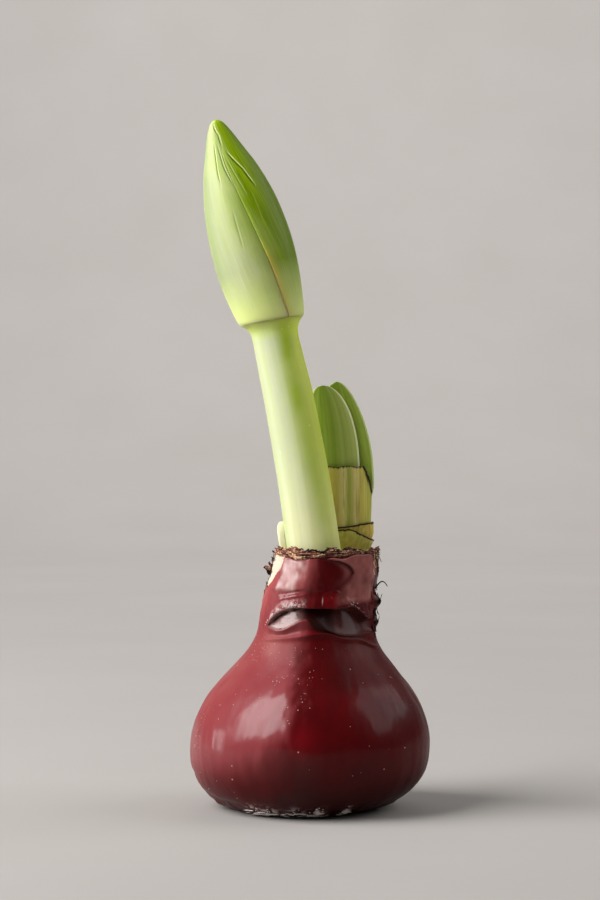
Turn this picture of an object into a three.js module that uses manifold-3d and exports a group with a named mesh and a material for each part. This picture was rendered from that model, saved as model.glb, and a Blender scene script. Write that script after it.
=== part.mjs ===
// Waxed amaryllis bulb with a flower bud on its stalk and a young leaf shoot, in millimetres, +Z up.
// The origin lies on the table under the middle of the bulb, and -Y is the bulb's front.
import * as THREE from "three";
import { LoftGeometry } from "three/addons/geometries/LoftGeometry.js";
import { mergeVertices } from "three/addons/utils/BufferGeometryUtils.js";
import Module from "manifold-3d";

const wasm = await Module();
wasm.setup();

// ---- driving dimensions

const bellyRadius = 46.2; // widest part of the waxed bulb
const bellyHeight = 24.5; // height of that widest part
const footRadius = 23.5; // flat spot the bulb stands on
const neckHeight = 101; // cut top of the neck
const neckRadius = 19.75; // mean radius at the cut
const neckShift = 5.9; // the neck leans this far to +X
const neckOval = 0.1; // share by which the neck is longer than round
const neckOvalTurn = THREE.MathUtils.degToRad(42); // its long axis, from +X towards the back
const depthRatio = 0.97; // front-to-back size over width

const gap = 0.3; // clearance between neighbouring pieces
const bodyWax = 1.6; // wax on the belly and the shoulder
const foldWax = 4.4; // wax pooled where the old outer scale folds over
const rimWax = 1.0; // thin wax at the cut neck
const waxTop = 97.4; // height of the wax's upper edge, apart from its unevenness
const seatHeight = 85; // ledge inside the neck that carries the dry scale
const cutHeight = 96; // level cut of the bulb's neck inside the dry scale
const socketFloor = 91; // bottom of the holes that the shoots grow out of

const dryScaleWall = 0.8;
const dryScaleBare = 0.4; // inset of the dry scale where no wax covers it
const stalkBase = new THREE.Vector3(2.6, -8.4, socketFloor + gap);
const stalkDepthRatio = 0.8; // the stalk is a flattened tube
const budBase = new THREE.Vector3(-15.0, -6.4, 190.1);
const budLength = 79.7;
const budLean = THREE.MathUtils.degToRad(16.5); // towards -X
const budDepthRatio = 0.88;
const shootCentre = new THREE.Vector2(9.0, 7.6); // middle of the leaf shoot inside the neck
const sheathSize = new THREE.Vector2(11.6, 5.4); // half width and half depth of the sheath at the neck
const scaleWall = 0.8; // each fleshy scale round the shoot
const sheathWall = 0.9;
const sheathFluting = 0.25; // how far the sheath's upright folds stand in and out
const leafThickness = 2.2;
const besideClear = 0.9; // from the stalk to the low scale beside it
const besideWall = 1.5;
const threadRadius = 0.35;

const segmentsAround = 44; // facets round the bulb
const shootSegments = 28; // facets round the sheath and its scales

// ---- small helpers

const { smoothstep, lerp, degToRad, radToDeg, mapLinear, clamp } = THREE.MathUtils;
const rise = (value, from, to) => smoothstep(value, from, to);
const bump = (value, centre, width) => Math.exp(-(((value - centre) / width) ** 2));
const outlineCurve = (...points) => new THREE.SplineCurve(points.map(([x, y]) => new THREE.Vector2(x, y)));
const steps = (count) => Array.from({ length: count }, (_, i) => i / count);
const span = (from, to, count) => Array.from({ length: count + 1 }, (_, i) => lerp(from, to, i / count));

// Point where one coordinate of a curve, which only rises along it, reaches a value
function pointWhere(curve, coordinate, value) {
  let low = 0;
  let high = 1;
  for (let i = 0; i < 30; i++) {
    const middle = (low + high) / 2;
    if (curve.getPoint(middle)[coordinate] < value) low = middle;
    else high = middle;
  }
  return curve.getPoint(low);
}

const curveAt = (curve, y) => pointWhere(curve, "y", y).x;

// Angle round the bulb, 0 at its front and positive towards +X, wrapped to -pi..pi
function fromFront(angle) {
  const turned = angle + Math.PI / 2;
  return Math.atan2(Math.sin(turned), Math.cos(turned));
}

function closedSolid(geometry) {
  const bare = new THREE.BufferGeometry().copy(geometry);
  bare.deleteAttribute("normal");
  bare.deleteAttribute("uv");
  const merged = mergeVertices(bare, 1e-4);
  const corners = merged.index.array;
  const kept = [];
  for (let i = 0; i < corners.length; i += 3) {
    const [a, b, c] = corners.subarray(i, i + 3);
    if (a !== b && b !== c && c !== a) kept.push(a, b, c);
  }
  return new wasm.Manifold(
    new wasm.Mesh({
      numProp: 3,
      vertProperties: new Float32Array(merged.attributes.position.array),
      triVerts: new Uint32Array(kept),
    }),
  );
}

function geometryOf(solid) {
  const mesh = solid.getMesh();
  const geometry = new THREE.BufferGeometry();
  geometry.setAttribute("position", new THREE.BufferAttribute(mesh.vertProperties, 3));
  geometry.setIndex(new THREE.BufferAttribute(mesh.triVerts, 1));
  geometry.computeVertexNormals();
  return geometry;
}

const loft = (sections) => new LoftGeometry(sections, { capStart: true, capEnd: true });
const hoopLoft = (sections) => new LoftGeometry([...sections, sections[0]]);
const largestBody = (solid) => solid.decompose().sort((a, b) => b.volume() - a.volume())[0];

function piece(name, geometry, color, roughness) {
  const material = new THREE.MeshStandardMaterial({ color, roughness, metalness: 0 });
  const mesh = new THREE.Mesh(geometry, material);
  mesh.name = name;
  return mesh;
}

// ---- the bulb's form: every layer of it is an inset of one waxed outline

const bulbOutline = outlineCurve(
  [footRadius, 0],
  [33, 2.1],
  [40.5, 7.6],
  [45, 14.9],
  [bellyRadius, bellyHeight],
  [44.9, 33.3],
  [40.6, 43],
  [33.2, 52.4],
  [26.3, 60.8],
  [23.1, 67.5],
  [22.0, 76],
  [20.8, 89],
  [neckRadius, neckHeight],
);

// The base is set a little to -X and the neck leans to +X
function middleAt(height) {
  const lean = neckShift * (height / neckHeight) ** 2.2;
  return lean - 0.4 * (1 - rise(height, 40, 70)) - 2.6 * Math.exp(-height / 7);
}

// Share by which the bulb is fuller or flatter than round at an angle
function girth(angle, height) {
  const neck = rise(height, 52, 80);
  const oval = 0.01 * Math.cos(2 * angle + 0.6);
  const belly = oval + 0.008 * Math.cos(3 * angle - 0.8) + 0.004 * Math.cos(5 * angle + 2);
  return 1 + belly * (1 - neck) + neckOval * neck * Math.cos(2 * (angle - neckOvalTurn));
}

// A point of the layer that lies inset under the outline, lifted outwards by the relief
function skinPoint(angle, height, inset, relief = 0) {
  const below = curveAt(bulbOutline, Math.max(height - 0.2, 0));
  const slope = (curveAt(bulbOutline, height + 0.2) - below) / 0.4;
  const steep = Math.hypot(1, slope);
  const radius = curveAt(bulbOutline, height) * girth(angle, height) + (relief - inset) / steep;
  const depth = lerp(depthRatio, 1, rise(height, 52, 80));
  return new THREE.Vector3(
    middleAt(height) + radius * Math.cos(angle),
    radius * depth * Math.sin(angle),
    height - ((relief - inset) * slope) / steep,
  );
}

const skinRing = (heightOf, inset, reliefOf = () => 0) =>
  steps(segmentsAround).map((turn) => {
    const angle = turn * 2 * Math.PI;
    const height = heightOf(angle);
    return skinPoint(angle, height, inset, reliefOf(angle));
  });

function waxThickness(height) {
  const fold = rise(height, 58, 66) * (1 - rise(height, 80, 84));
  return lerp(lerp(bodyWax, rimWax, rise(height, 78, 84)), foldWax, fold);
}

// ---- the fold in the neck: the old outer scale ends in a lid over a hollow, with a ridge below it

const foldFoot = 58; // levels at which the fold's lines are drawn before they are bent to their real course
const ridgeLevel = 66;
const lipLevel = 70;
const lidLevel = 78;
const foldTop = 98;
const hollowDepth = [1.9, 3.3]; // on the left, where its floor slopes evenly to the lip, and at the front

// Height of each line, and the side in degrees from the front
const ridgeCourse = outlineCurve(
  [65.6, -100],
  [65.8, -62],
  [66.5, -45],
  [67.6, -18],
  [68.8, 2],
  [68.6, 14],
  [66.8, 26],
  [66.4, 36],
  [65.8, 48],
  [62.8, 72],
  [65.6, 100],
);
const lipCourse = outlineCurve(
  [70.5, -100],
  [71.2, -62],
  [71.4, -56],
  [70.1, -47],
  [69.5, -40],
  [70.0, -32],
  [72.0, -21],
  [73.3, -9],
  [71.2, 3],
  [69.8, 14],
  [68.6, 30],
  [68.4, 42],
  [68.6, 56],
  [68.8, 72],
  [70.5, 100],
);
const lidCourse = outlineCurve(
  [73.5, -100],
  [72.0, -62],
  [73.6, -54],
  [76.6, -44],
  [78.8, -33],
  [79.8, -18],
  [80.0, -4],
  [79.8, 12],
  [79.2, 26],
  [79.4, 38],
  [78.6, 46],
  [77.0, 54],
  [74.4, 66],
  [73.5, 100],
);

// Straight between the fold's lines, each at its own height for every side
function bentHeight(level, angle) {
  if (level <= foldFoot) return level;
  const side = radToDeg(fromFront(angle));
  const levels = [foldFoot, ridgeLevel, lipLevel, lidLevel, foldTop];
  const lines = [ridgeCourse, lipCourse, lidCourse].map((course) => curveAt(course, side));
  const heights = [foldFoot, ...lines, waxEdge(angle)];
  const above = levels.findIndex((line) => line >= level);
  return mapLinear(level, levels[above - 1], levels[above], heights[above - 1], heights[above]);
}

function foldRelief(level, angle) {
  const side = radToDeg(fromFront(angle));
  const shown = rise(side, -64, -50) * (1 - rise(side, 62, 84));
  const front = rise(side, -26, -7);
  const ridge = lerp(0.6, 0.9, front) * bump(level, ridgeLevel, 0.8);
  const groove = 0.4 * bump(level, ridgeLevel + 1.9, 0.9);
  const lip = lerp(0.5, 0.1, front) * bump(level, lipLevel, 0.9);
  const ceiling = rise(level, lidLevel - 0.9, lidLevel);
  const fall = clamp(mapLinear(level, lipLevel, lidLevel - 0.9, 0, 1), 0, 1) ** lerp(1, 0.6, front);
  const depth = lerp(...hollowDepth, front * (1 - 0.35 * rise(side, 14, 30)));
  const lid = 0.7 * ceiling * (1 - rise(level, lidLevel + 0.5, lidLevel + 4));
  return shown * (ridge - groove + lip - depth * fall * (1 - ceiling) + lid);
}

// A flat facet left of the front, tilted a little upwards, and a knob of dried skin on the right
function neckRelief(height, angle) {
  const side = radToDeg(fromFront(angle));
  const across = (side + 31) / 13;
  const lower = 1.1 * (1 - rise(height, 85, 98)) * bump(across, 0, 1.5);
  const facet = (lower - 0.62 * Math.max(0, 1 - across ** 2)) * rise(height, 84.6, 86);
  return facet + 2.3 * bump(side, 88, 6.5) * bump(height, 79.6, 2.6);
}

// One upright swelling left of the front, shallow dents, and a chip low on the left
function bellyRelief(height, angle) {
  const side = radToDeg(fromFront(angle));
  const swelling = 2.3 * bump(side, -10, 13) * bump(height, 33, 20);
  const waves = 0.28 * Math.sin(5 * angle + 0.7) + 0.2 * Math.sin(8 * angle + 0.12 * height);
  const chip = -0.9 * bump(side, -58, 14) * bump(height, 4, 1.8);
  return swelling + waves * bump(height, 30, 20) + chip;
}

// The wax ends in an uneven edge, lower on the left where the pale scale is bare, higher right of the front
function waxEdge(angle) {
  const side = radToDeg(fromFront(angle));
  const bare = 11.4 * rise(-side, 50, 67) * (1 - rise(-side, 88, 116));
  const right = 1.4 * rise(side, 12, 30) * (1 - rise(side, 60, 74));
  return waxTop - bare + right + 0.35 * Math.sin(7 * angle) + 0.25 * Math.sin(13 * angle + 1);
}

function waxCoat() {
  const belowFold = [0, 1.2, 3, 5.6, 9, 13.5, 18.5, 24.5, 30.5, 36, 41, 45.5, 50, 54, foldFoot, 61, 63.6];
  const acrossFold = [65.2, ridgeLevel, 67, 68.2, lipLevel, 71.4, 73, 75, 76.6, 77.5, lidLevel];
  const aboveFold = [79, 80.8, 83, 86, 89, 92, 95, 97.4];
  const outside = [...belowFold, ...acrossFold, ...aboveFold].map((level) => {
    const heightOf = (angle) => bentHeight(level, angle);
    const reliefOf = (angle) => {
      const height = heightOf(angle);
      const relief = foldRelief(level, angle) + neckRelief(height, angle) + bellyRelief(height, angle);
      return rise(level, 0, 0.6) * relief;
    };
    return skinRing(heightOf, 0, reliefOf);
  });
  outside.push(skinRing(waxEdge, 0.3), skinRing((angle) => waxEdge(angle) + 0.15, rimWax + 0.6));
  const whole = closedSolid(loft(outside));
  return geometryOf(whole.subtract(closedSolid(loft(insideRings(0, neckHeight + 6)))));
}

// Rings of the space inside the wax, from its floor up, shrunk by a clearance
function insideRings(clearance, top) {
  const heights = [0, 2.5, 7, 14, 24, 33, 41, 48, 54, 60, 66, 72, 79, 82, 84, seatHeight];
  const rings = heights.map((height) => skinRing(() => height, waxThickness(height) + clearance));
  if (top > seatHeight) {
    rings.push(...[92, neckHeight].map((height) => skinRing(() => height, rimWax + clearance)));
    rings.push(rings.at(-1).map((point) => point.clone().setZ(top)));
  }
  return rings;
}

// ---- the fleshy bulb inside the wax, with its neck cut level and the scales showing as rings

function bulb() {
  const coreInset = rimWax + gap + dryScaleWall + gap;
  const core = [
    [seatHeight, 0],
    [92, 0],
    [cutHeight, 0.2],
  ];
  const rings = insideRings(gap, seatHeight);
  rings.push(...core.map(([height, inset]) => skinRing(() => height, coreInset + inset)));
  const cutTop = rings.at(-1);
  const centre = new THREE.Vector3(middleAt(cutHeight), 0, cutHeight);
  const scaleRings = [
    [0.92, 0.9],
    [0.86, 0.7],
    [0.72, -0.8],
    [0.66, 0.9],
    [0.5, -0.6],
    [0.44, 0.8],
    [0.26, -0.6],
    [0.2, 0.5],
  ]; // share of the cut's radius, and how far that ring stands above the cut
  scaleRings.forEach(([share, lift]) => {
    rings.push(cutTop.map((point) => point.clone().lerp(centre, 1 - share).setZ(cutHeight + lift)));
  });
  const sockets = [
    closedSolid(loft(stalkSocketRings())),
    closedSolid(loft(shootRings(2, gap, socketFloor))),
    closedSolid(loft(besideScaleSections(gap))),
  ];
  const cut = sockets.reduce((left, socket) => left.subtract(socket), closedSolid(loft(rings)));
  return geometryOf(largestBody(cut));
}

// ---- the dry outer scale: a papery band between wax and bulb, torn off unevenly above the wax

function dryScaleEdge(angle) {
  const torn = 0.45 * Math.sin(5 * angle + 1) + 0.35 * Math.sin(11 * angle) + 0.25 * Math.sin(17 * angle + 2);
  return neckHeight + 0.3 - 0.9 * bump(fromFront(angle), degToRad(85), degToRad(35)) + torn;
}

function dryScale() {
  const hidden = rimWax + gap;
  const bare = dryScaleBare;
  const foot = () => seatHeight + gap;
  const underWax = (angle) => waxEdge(angle) + 0.2;
  const overWax = (angle) => waxEdge(angle) + 1;
  const band = hoopLoft([
    skinRing(foot, hidden),
    skinRing(underWax, hidden),
    skinRing(overWax, bare),
    skinRing((angle) => dryScaleEdge(angle) - 0.6, bare),
    skinRing(dryScaleEdge, bare + 0.3),
    skinRing((angle) => dryScaleEdge(angle) - 0.3, bare + dryScaleWall),
    skinRing(overWax, bare + dryScaleWall),
    skinRing(underWax, hidden + dryScaleWall),
    skinRing(foot, hidden + dryScaleWall),
  ]);
  return geometryOf(closedSolid(band).add(closedSolid(tornCurl())));
}

// A torn strip of the dry scale that curls outwards over the low edge of the wax on the left
function tornCurl() {
  const angle = degToRad(186);
  const root = skinPoint(angle, 97.6, dryScaleBare + 0.6);
  const outwards = new THREE.Vector3(Math.cos(angle), Math.sin(angle), 0);
  const along = new THREE.Vector3(-Math.sin(angle), Math.cos(angle), 0);
  const course = [
    [0, 0],
    [1.2, 0.3],
    [2.4, -0.2],
    [3.2, -1.5],
    [3.7, -3.2],
    [3.9, -5],
    [3.6, -6.6],
  ];
  return loft(
    course.map(([out, up], i) => {
      const half = 1.9 - 0.15 * i;
      const next = course[Math.min(i + 1, course.length - 1)];
      const last = course[Math.max(i - 1, 0)];
      const tilt = Math.atan2(next[1] - last[1], next[0] - last[0]);
      const across = new THREE.Vector2(-Math.sin(tilt), Math.cos(tilt)).multiplyScalar(0.35);
      return [
        [-half, -1],
        [half, -1],
        [half, 1],
        [-half, 1],
      ].map(([side, face]) =>
        root
          .clone()
          .addScaledVector(outwards, out + face * across.x)
          .addScaledVector(along, side)
          .add(new THREE.Vector3(0, 0, up + face * across.y)),
      );
    }),
  );
}

// ---- the flower stalk, a tapering oval tube of flesh that leans to the left

const stalkMiddles = [
  stalkBase,
  new THREE.Vector3(1.4, -8.4, 100.8),
  new THREE.Vector3(-2.65, -8.2, 128.5),
  new THREE.Vector3(-7.9, -7.5, 157.3),
  new THREE.Vector3(-11.6, -7.0, 174.1),
  budBase,
];
const stalkCourse = new THREE.CatmullRomCurve3(stalkMiddles, false, "catmullrom", 0.5);
const stalkFootHalf = 10.4; // half width where it leaves the bulb
const stalkWidth = outlineCurve(
  [stalkFootHalf, 0],
  [10.2, 0.3],
  [9.6, 0.62],
  [9.1, 0.82],
  [9.0, 0.93],
  [9.9, 0.975],
  [11.6, 1],
);

const budAxis = new THREE.Vector3(-Math.sin(budLean), 0, Math.cos(budLean));
const budRight = new THREE.Vector3(Math.cos(budLean), 0, Math.sin(budLean));
const front = new THREE.Vector3(0, -1, 0);

function stalkSection(share, swell) {
  const middle = stalkCourse.getPoint(share);
  const axis = share === 1 ? budAxis : stalkCourse.getTangent(share).setY(0).normalize();
  const right = new THREE.Vector3(axis.z, 0, -axis.x);
  const half = curveAt(stalkWidth, share) + swell;
  const depth = lerp(stalkDepthRatio, budDepthRatio, rise(share, 0.75, 1));
  return steps(28).map((turn) => {
    const angle = turn * 2 * Math.PI;
    return middle
      .clone()
      .addScaledVector(axis, -footDrop(Math.cos(angle)) * rise(share, 0.8, 1))
      .addScaledVector(right, half * Math.cos(angle))
      .addScaledVector(front, -(half * depth + swell * (1 - depth)) * Math.sin(angle));
  });
}

// Rings round the stalk's foot, used to cut its hole
function stalkSocketRings() {
  const floor = stalkSection(0, gap).map((point) => point.setZ(socketFloor));
  return [floor, ...[0.05, 0.1, 0.15, 0.2].map((share) => stalkSection(share, gap))];
}

function flowerStalk() {
  const shares = [0, 0.1, 0.22, 0.34, 0.46, 0.58, 0.7, 0.8, 0.88, 0.935, 0.965, 0.985, 1];
  const rings = shares.map((share) => stalkSection(share, 0));
  rings[0].forEach((point) => point.setZ(socketFloor + gap));
  return loft(rings);
}

// ---- the closed bud: two bracts that meet along a seam, each firm to the middle of the bud

const budOutline = outlineCurve(
  [11.7, 0],
  [13.0, 1.7],
  [14.3, 7.8],
  [15.4, 15.6],
  [15.9, 25],
  [15.5, 35],
  [13.9, 47],
  [10.9, 58.5],
  [7.9, 66.3],
  [4.8, 74],
  [2.7, 78],
  [0.9, budLength],
);

// The seam starts right of the front at the base and winds to the left of it at the tip
const frontSeam = (along) => degToRad(31 - 0.6 * along);

// The bud's foot is cut less steeply than its axis leans, so it reaches lower on the right
const footDrop = (right) => 1.3 * (1 + right);

function budPoint(side, along, lift) {
  const half = curveAt(budOutline, along) + lift;
  const share = along / budLength;
  const bow = 0.6 * Math.sin(Math.PI * share) + 0.9 * share ** 3;
  return budBase
    .clone()
    .addScaledVector(budAxis, along - footDrop(Math.sin(side)) * (1 - rise(along, 0, 20)))
    .addScaledVector(budRight, half * Math.sin(side) + bow)
    .addScaledVector(front, half * budDepthRatio * Math.cos(side));
}

// Half of the bud from one seam round to the other. Its first margin lies over the other bract's last one.
function bract(startOf) {
  const arc = span(0, 1, 18);
  const alongs = [0, 1, 2.6, 6, 12, 19, 27, 35, 43, 50, 56.5, 62.5, 68, 73, 76.5, 78.6];
  const sections = alongs.map((above) => {
    const along = above + gap;
    const start = startOf(along);
    const edge = Math.asin(clamp(gap / 2 / curveAt(budOutline, along), 0, 1));
    const outer = arc.map((share) => {
      const side = start + edge + share * (Math.PI - 2 * edge);
      const margin = 0.35 * (1 - rise(share, 0, 0.16)) - 0.35 * rise(share, 0.84, 1);
      return budPoint(side, along, Math.min(along / 6, 1) * margin);
    });
    const first = outer[0];
    const last = outer.at(-1);
    return [...outer, ...[0.25, 0.5, 0.75].map((share) => last.clone().lerp(first, share))];
  });
  return loft(sections);
}

// ---- the leaf shoot: two leaves in a cut sheath, with two fleshy scales round its foot

const flareHeights = [97, 100, 103.5, 107];

// The shoot swells to +X above the neck's rim
function shootPoint(angle, height, layer, lift) {
  const grown = layer * (scaleWall + gap) + lift;
  const flare = 3.4 * rise(height, 97, 107);
  return new THREE.Vector3(
    shootCentre.x + flare / 2 + (sheathSize.x + grown + flare / 2) * Math.cos(angle),
    shootCentre.y + (sheathSize.y + grown) * Math.sin(angle),
    height,
  );
}

const shootRing = (layer, lift, heightOf, reliefOf = () => 0) =>
  steps(shootSegments).map((turn) => {
    const angle = turn * 2 * Math.PI;
    return shootPoint(angle, heightOf(angle), layer, lift + reliefOf(angle));
  });

// Rings round the whole shoot out to a layer, used to cut its hole
const shootRings = (layer, swell, from) =>
  [from, ...flareHeights].map((height) => shootRing(layer, swell, () => height));

// A tube of one layer, standing in the hole and ending in an edge of varying height
function shootTube(layer, wall, edgeOf, heights, fluteDepth = 0) {
  const foot = () => socketFloor + gap;
  const belowEdge = (height) => (angle) => Math.min(height, edgeOf(angle) - 0.04 * (140 - height));
  const ring = (lift, heightOf) => {
    const fluting = (angle) => fluteDepth * Math.cos(8 * angle) * rise(heightOf(angle), 111, 119);
    return shootRing(layer, lift, heightOf, fluting);
  };
  return hoopLoft([
    ring(0, foot),
    ...heights.map((height) => ring(0, belowEdge(height))),
    ring(-0.1, edgeOf),
    ring(-wall, edgeOf),
    ...heights.toReversed().map((height) => ring(-wall, belowEdge(height))),
    ring(-wall, foot),
  ]);
}

// Cut level across the front, sloping to a split at the right that shows a leaf's margin, lower at the back
function sheathEdge(angle) {
  const side = fromFront(angle);
  const slope = clamp(mapLinear(side, degToRad(52), degToRad(88), 0, 1), 0, 1);
  const split = rise(side, degToRad(86), degToRad(94)) * (1 - rise(side, degToRad(128), degToRad(142)));
  const back = rise(Math.abs(side), degToRad(110), degToRad(150));
  return 132.6 - 10 * slope * (1 - back) - 9.5 * split - 8 * back + 0.15 * Math.sin(9 * angle);
}

function leafSheath() {
  return shootTube(0, sheathWall, sheathEdge, [...flareHeights, 112, 115, 119, 124.5], sheathFluting);
}

const innerScaleEdge = (angle) => 108.6 + 2.1 * Math.cos(angle) + 0.1 * Math.sin(7 * angle);
const outerScaleEdge = (angle) => Math.min(108, 110.3 - 6.7 * Math.cos(angle));

// A leaf blade as level sections: a strip bent to a shallow trough that ends in a rounded tip
function leaf({ tipHeight, centreOf, halfOf, bend }) {
  const across = span(-1, 1, 8);
  const belowTip = [27, 21, 16, 12, 8.5, 5.5, 3.2, 1.5, 0.4];
  const heights = [socketFloor + gap, 100, 109, 116, 122, 128, ...belowTip.map((drop) => tipHeight - drop)];
  return loft(
    heights.map((height) => {
      const half = halfOf(height);
      const centre = centreOf(height);
      const thickness = leafThickness * lerp(0.35, 1, rise(tipHeight - height, 0, 16));
      const at = (share, face) => {
        const body = face * thickness * Math.sqrt(1 - 0.94 * share ** 4);
        const curl = bend * (half / 12) ** 2 * share ** 2;
        return new THREE.Vector3(centre.x + half * share, centre.y + curl + body / 2, height);
      };
      return [...across.map((share) => at(share, -1)), ...across.toReversed().map((share) => at(share, 1))];
    }),
  );
}

// Half width of a blade at a distance below its rounded tip, full width from tipLength down
const roundTip = (distance, tipLength, power) =>
  (1 - (1 - clamp(distance / tipLength, 0, 1)) ** 2) ** power;

function frontLeaf() {
  const tipHeight = 164.3;
  const half = (height) => lerp(8.5, 10.3, rise(height, 100, 124));
  return leaf({
    tipHeight,
    bend: 2.2,
    halfOf: (height) => half(height) * roundTip(tipHeight - height, 30, 0.4),
    centreOf: (height) => {
      const below = Math.exp((height - tipHeight) / 15);
      return new THREE.Vector2(5.2 + 4.6 * (1 - below), 4.9 + 0.5 * rise(height, 110, 150));
    },
  });
}

function backLeaf() {
  const tipHeight = 166;
  const half = (height) => lerp(8.6, 13.4, rise(height, 100, 126));
  return leaf({
    tipHeight,
    bend: -2.0,
    halfOf: (height) => half(height) * roundTip(tipHeight - height, 38, 0.79),
    centreOf: (height) =>
      new THREE.Vector2(
        9.0 + 2.8 * rise(height, 100, 126) - 0.6 * rise(height, 135, 166),
        10.4 - 0.6 * rise(height, 118, 160),
      ),
  });
}

// ---- a low fleshy scale that hugs the left of the stalk

function besideScaleSections(swell) {
  const from = degToRad(122);
  const to = degToRad(190);
  return span(from - 0.02 * swell, to + 0.02 * swell, 16).map((angle) => {
    const share = clamp((angle - from) / (to - from), 0.03, 0.97);
    const foot = swell ? socketFloor : socketFloor + gap;
    const edge = swell ? neckHeight + 4 : 97.5 + 13.8 * Math.sin(Math.PI * share) ** 0.6;
    const at = (clear, height) => {
      const middle = pointWhere(stalkCourse, "z", height);
      const out = clear + 0.5 * rise(height, 95, 108);
      const reach = stalkFootHalf + out;
      const depth = stalkFootHalf * stalkDepthRatio + out;
      const across = new THREE.Vector3(reach * Math.cos(angle), depth * Math.sin(angle), 0);
      return middle.add(across).setZ(height);
    };
    const inner = besideClear - swell;
    const outer = besideClear + besideWall + swell;
    return [
      at(inner, foot),
      at(inner, edge - 0.8),
      at(inner + 0.3, edge),
      at(outer - 0.3, edge),
      at(outer, edge - 0.8),
      at(outer, foot),
    ];
  });
}

// ---- a dry thread of old root skin that sticks out of the wax on the right of the neck

function dryThread() {
  const foot = skinPoint(degToRad(-6), 85.2, 0);
  const reach = [
    [gap + 0.2, 0, 0],
    [1.2, -0.2, 1.3],
    [2.6, -0.5, 2.6],
    [3.9, -0.7, 2.4],
    [5.1, -0.8, 0.8],
  ];
  const course = new THREE.CatmullRomCurve3(reach.map((step) => new THREE.Vector3(...step).add(foot)));
  const corners = steps(6).map((turn) => {
    const angle = turn * 2 * Math.PI;
    return new THREE.Vector2(Math.cos(angle), Math.sin(angle)).multiplyScalar(threadRadius);
  });
  const section = new THREE.Shape(corners);
  return new THREE.ExtrudeGeometry(section, { steps: 12, extrudePath: course, bevelEnabled: false });
}

// ---- the whole plant

const plant = new THREE.Group();
plant.add(
  piece("wax_coat", waxCoat(), 0x7d1820, 0.25),
  piece("bulb", bulb(), 0xcdbb8a, 0.8),
  piece("dry_scale", dryScale(), 0x8a5a3c, 0.85),
  piece("flower_stalk", flowerStalk(), 0xb9cc84, 0.45),
  piece("bract_right", bract(frontSeam), 0x7fa030, 0.45),
  piece("bract_left", bract((along) => frontSeam(along) + Math.PI), 0xa9c45c, 0.45),
  piece("leaf_front", frontLeaf(), 0x5f8a2c, 0.45),
  piece("leaf_back", backLeaf(), 0x6c9a2a, 0.45),
  piece("leaf_sheath", leafSheath(), 0xb3a660, 0.6),
  piece("inner_scale", shootTube(1, scaleWall, innerScaleEdge, flareHeights), 0xa3a04e, 0.6),
  piece("outer_scale", shootTube(2, scaleWall, outerScaleEdge, flareHeights.slice(0, 3)), 0x9d9a4b, 0.6),
  piece("beside_scale", loft(besideScaleSections(0)), 0xc2cf86, 0.55),
  piece("dry_thread", dryThread(), 0x2a1c16, 0.9),
);

export default plant;
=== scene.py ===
import bpy
import numpy as np
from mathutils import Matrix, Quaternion, Vector


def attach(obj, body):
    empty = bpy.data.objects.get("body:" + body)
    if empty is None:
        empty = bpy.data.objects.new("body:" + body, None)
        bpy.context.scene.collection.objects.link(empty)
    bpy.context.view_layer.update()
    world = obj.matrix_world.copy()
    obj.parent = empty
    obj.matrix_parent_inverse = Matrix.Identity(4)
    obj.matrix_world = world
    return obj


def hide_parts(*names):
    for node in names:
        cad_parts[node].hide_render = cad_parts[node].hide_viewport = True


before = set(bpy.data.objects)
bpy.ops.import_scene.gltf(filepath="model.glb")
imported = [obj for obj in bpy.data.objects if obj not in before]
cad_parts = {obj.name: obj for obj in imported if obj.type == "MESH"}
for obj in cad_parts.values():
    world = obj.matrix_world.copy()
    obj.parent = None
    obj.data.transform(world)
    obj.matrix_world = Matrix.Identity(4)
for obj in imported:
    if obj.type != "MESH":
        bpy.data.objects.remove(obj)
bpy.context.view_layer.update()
print("frame loaded with", len(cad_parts), "nodes")

# Lengths are in millimetres up to makePiece, which turns them to metres. -Y is the bulb's front. An angle is
# in radians round the upright axis from +X, and a side in degrees from the front, positive towards +X.

deg = np.pi / 180
curveSteps = 1500


# small helpers on whole arrays

def smooth(value, start, end):  # 0 up to start, 1 from end on, an S-curve between
    share = np.clip((value - start) / (end - start), 0, 1)
    return share * share * (3 - 2 * share)


def fade(value, start, end):  # the same curve from 1 down to 0
    return 1 - smooth(value, start, end)


def bell(value, centre, width):  # 1 at the centre, falling off both ways over the width
    return np.exp(-(((value - centre) / width) ** 2))


def mix(first, second, share):
    return first + (second - first) * share


def sideOf(angle):
    return np.arctan2(np.cos(angle), -np.sin(angle)) / deg


def angleOf(side):
    return (side - 90) * deg


def allRound(count):  # angles evenly spaced round the axis
    return np.linspace(0, 2 * np.pi, count, endpoint=False)


def unit(vectors):
    return vectors / np.linalg.norm(vectors, axis=-1, keepdims=True)


def curveThrough(points, count, openEnds=False):
    # Catmull-Rom curve: a cubic between points, whose slope at each is half the step between its neighbours
    points = np.array(points, float)
    before = 2 * points[0] - points[1] if openEnds else points[0]
    after = 2 * points[-1] - points[-2] if openEnds else points[-1]
    held = np.vstack([before, points, after])
    place = np.linspace(0, len(points) - 1, count)
    first = np.minimum(place.astype(int), len(points) - 2)
    t = (place - first)[:, None]
    a, b, c, d = (held[first + i] for i in range(4))
    return b + t / 2 * (c - a + t * (2 * a - 5 * b + 4 * c - d + t * (3 * (b - c) + d - a)))


def alongOutline(outline, at):
    # on the smooth curve through an outline's points, the first number where the second is at
    curve = curveThrough(outline, curveSteps)
    return np.interp(at, curve[:, 1], curve[:, 0])


def cornerValue(i, j, k, seed):  # a fixed random number from -1 to 1 for each corner of a grid
    mixed = (i * 73856093) ^ (j * 19349663) ^ (k * 83492791) ^ (seed * 49979687)
    mixed = mixed & 0xFFFFFFFF
    mixed = ((mixed ^ (mixed >> 13)) * 1274126177) & 0xFFFFFFFF
    return ((mixed ^ (mixed >> 16)) & 0xFFFF) / 32767.5 - 1


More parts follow.
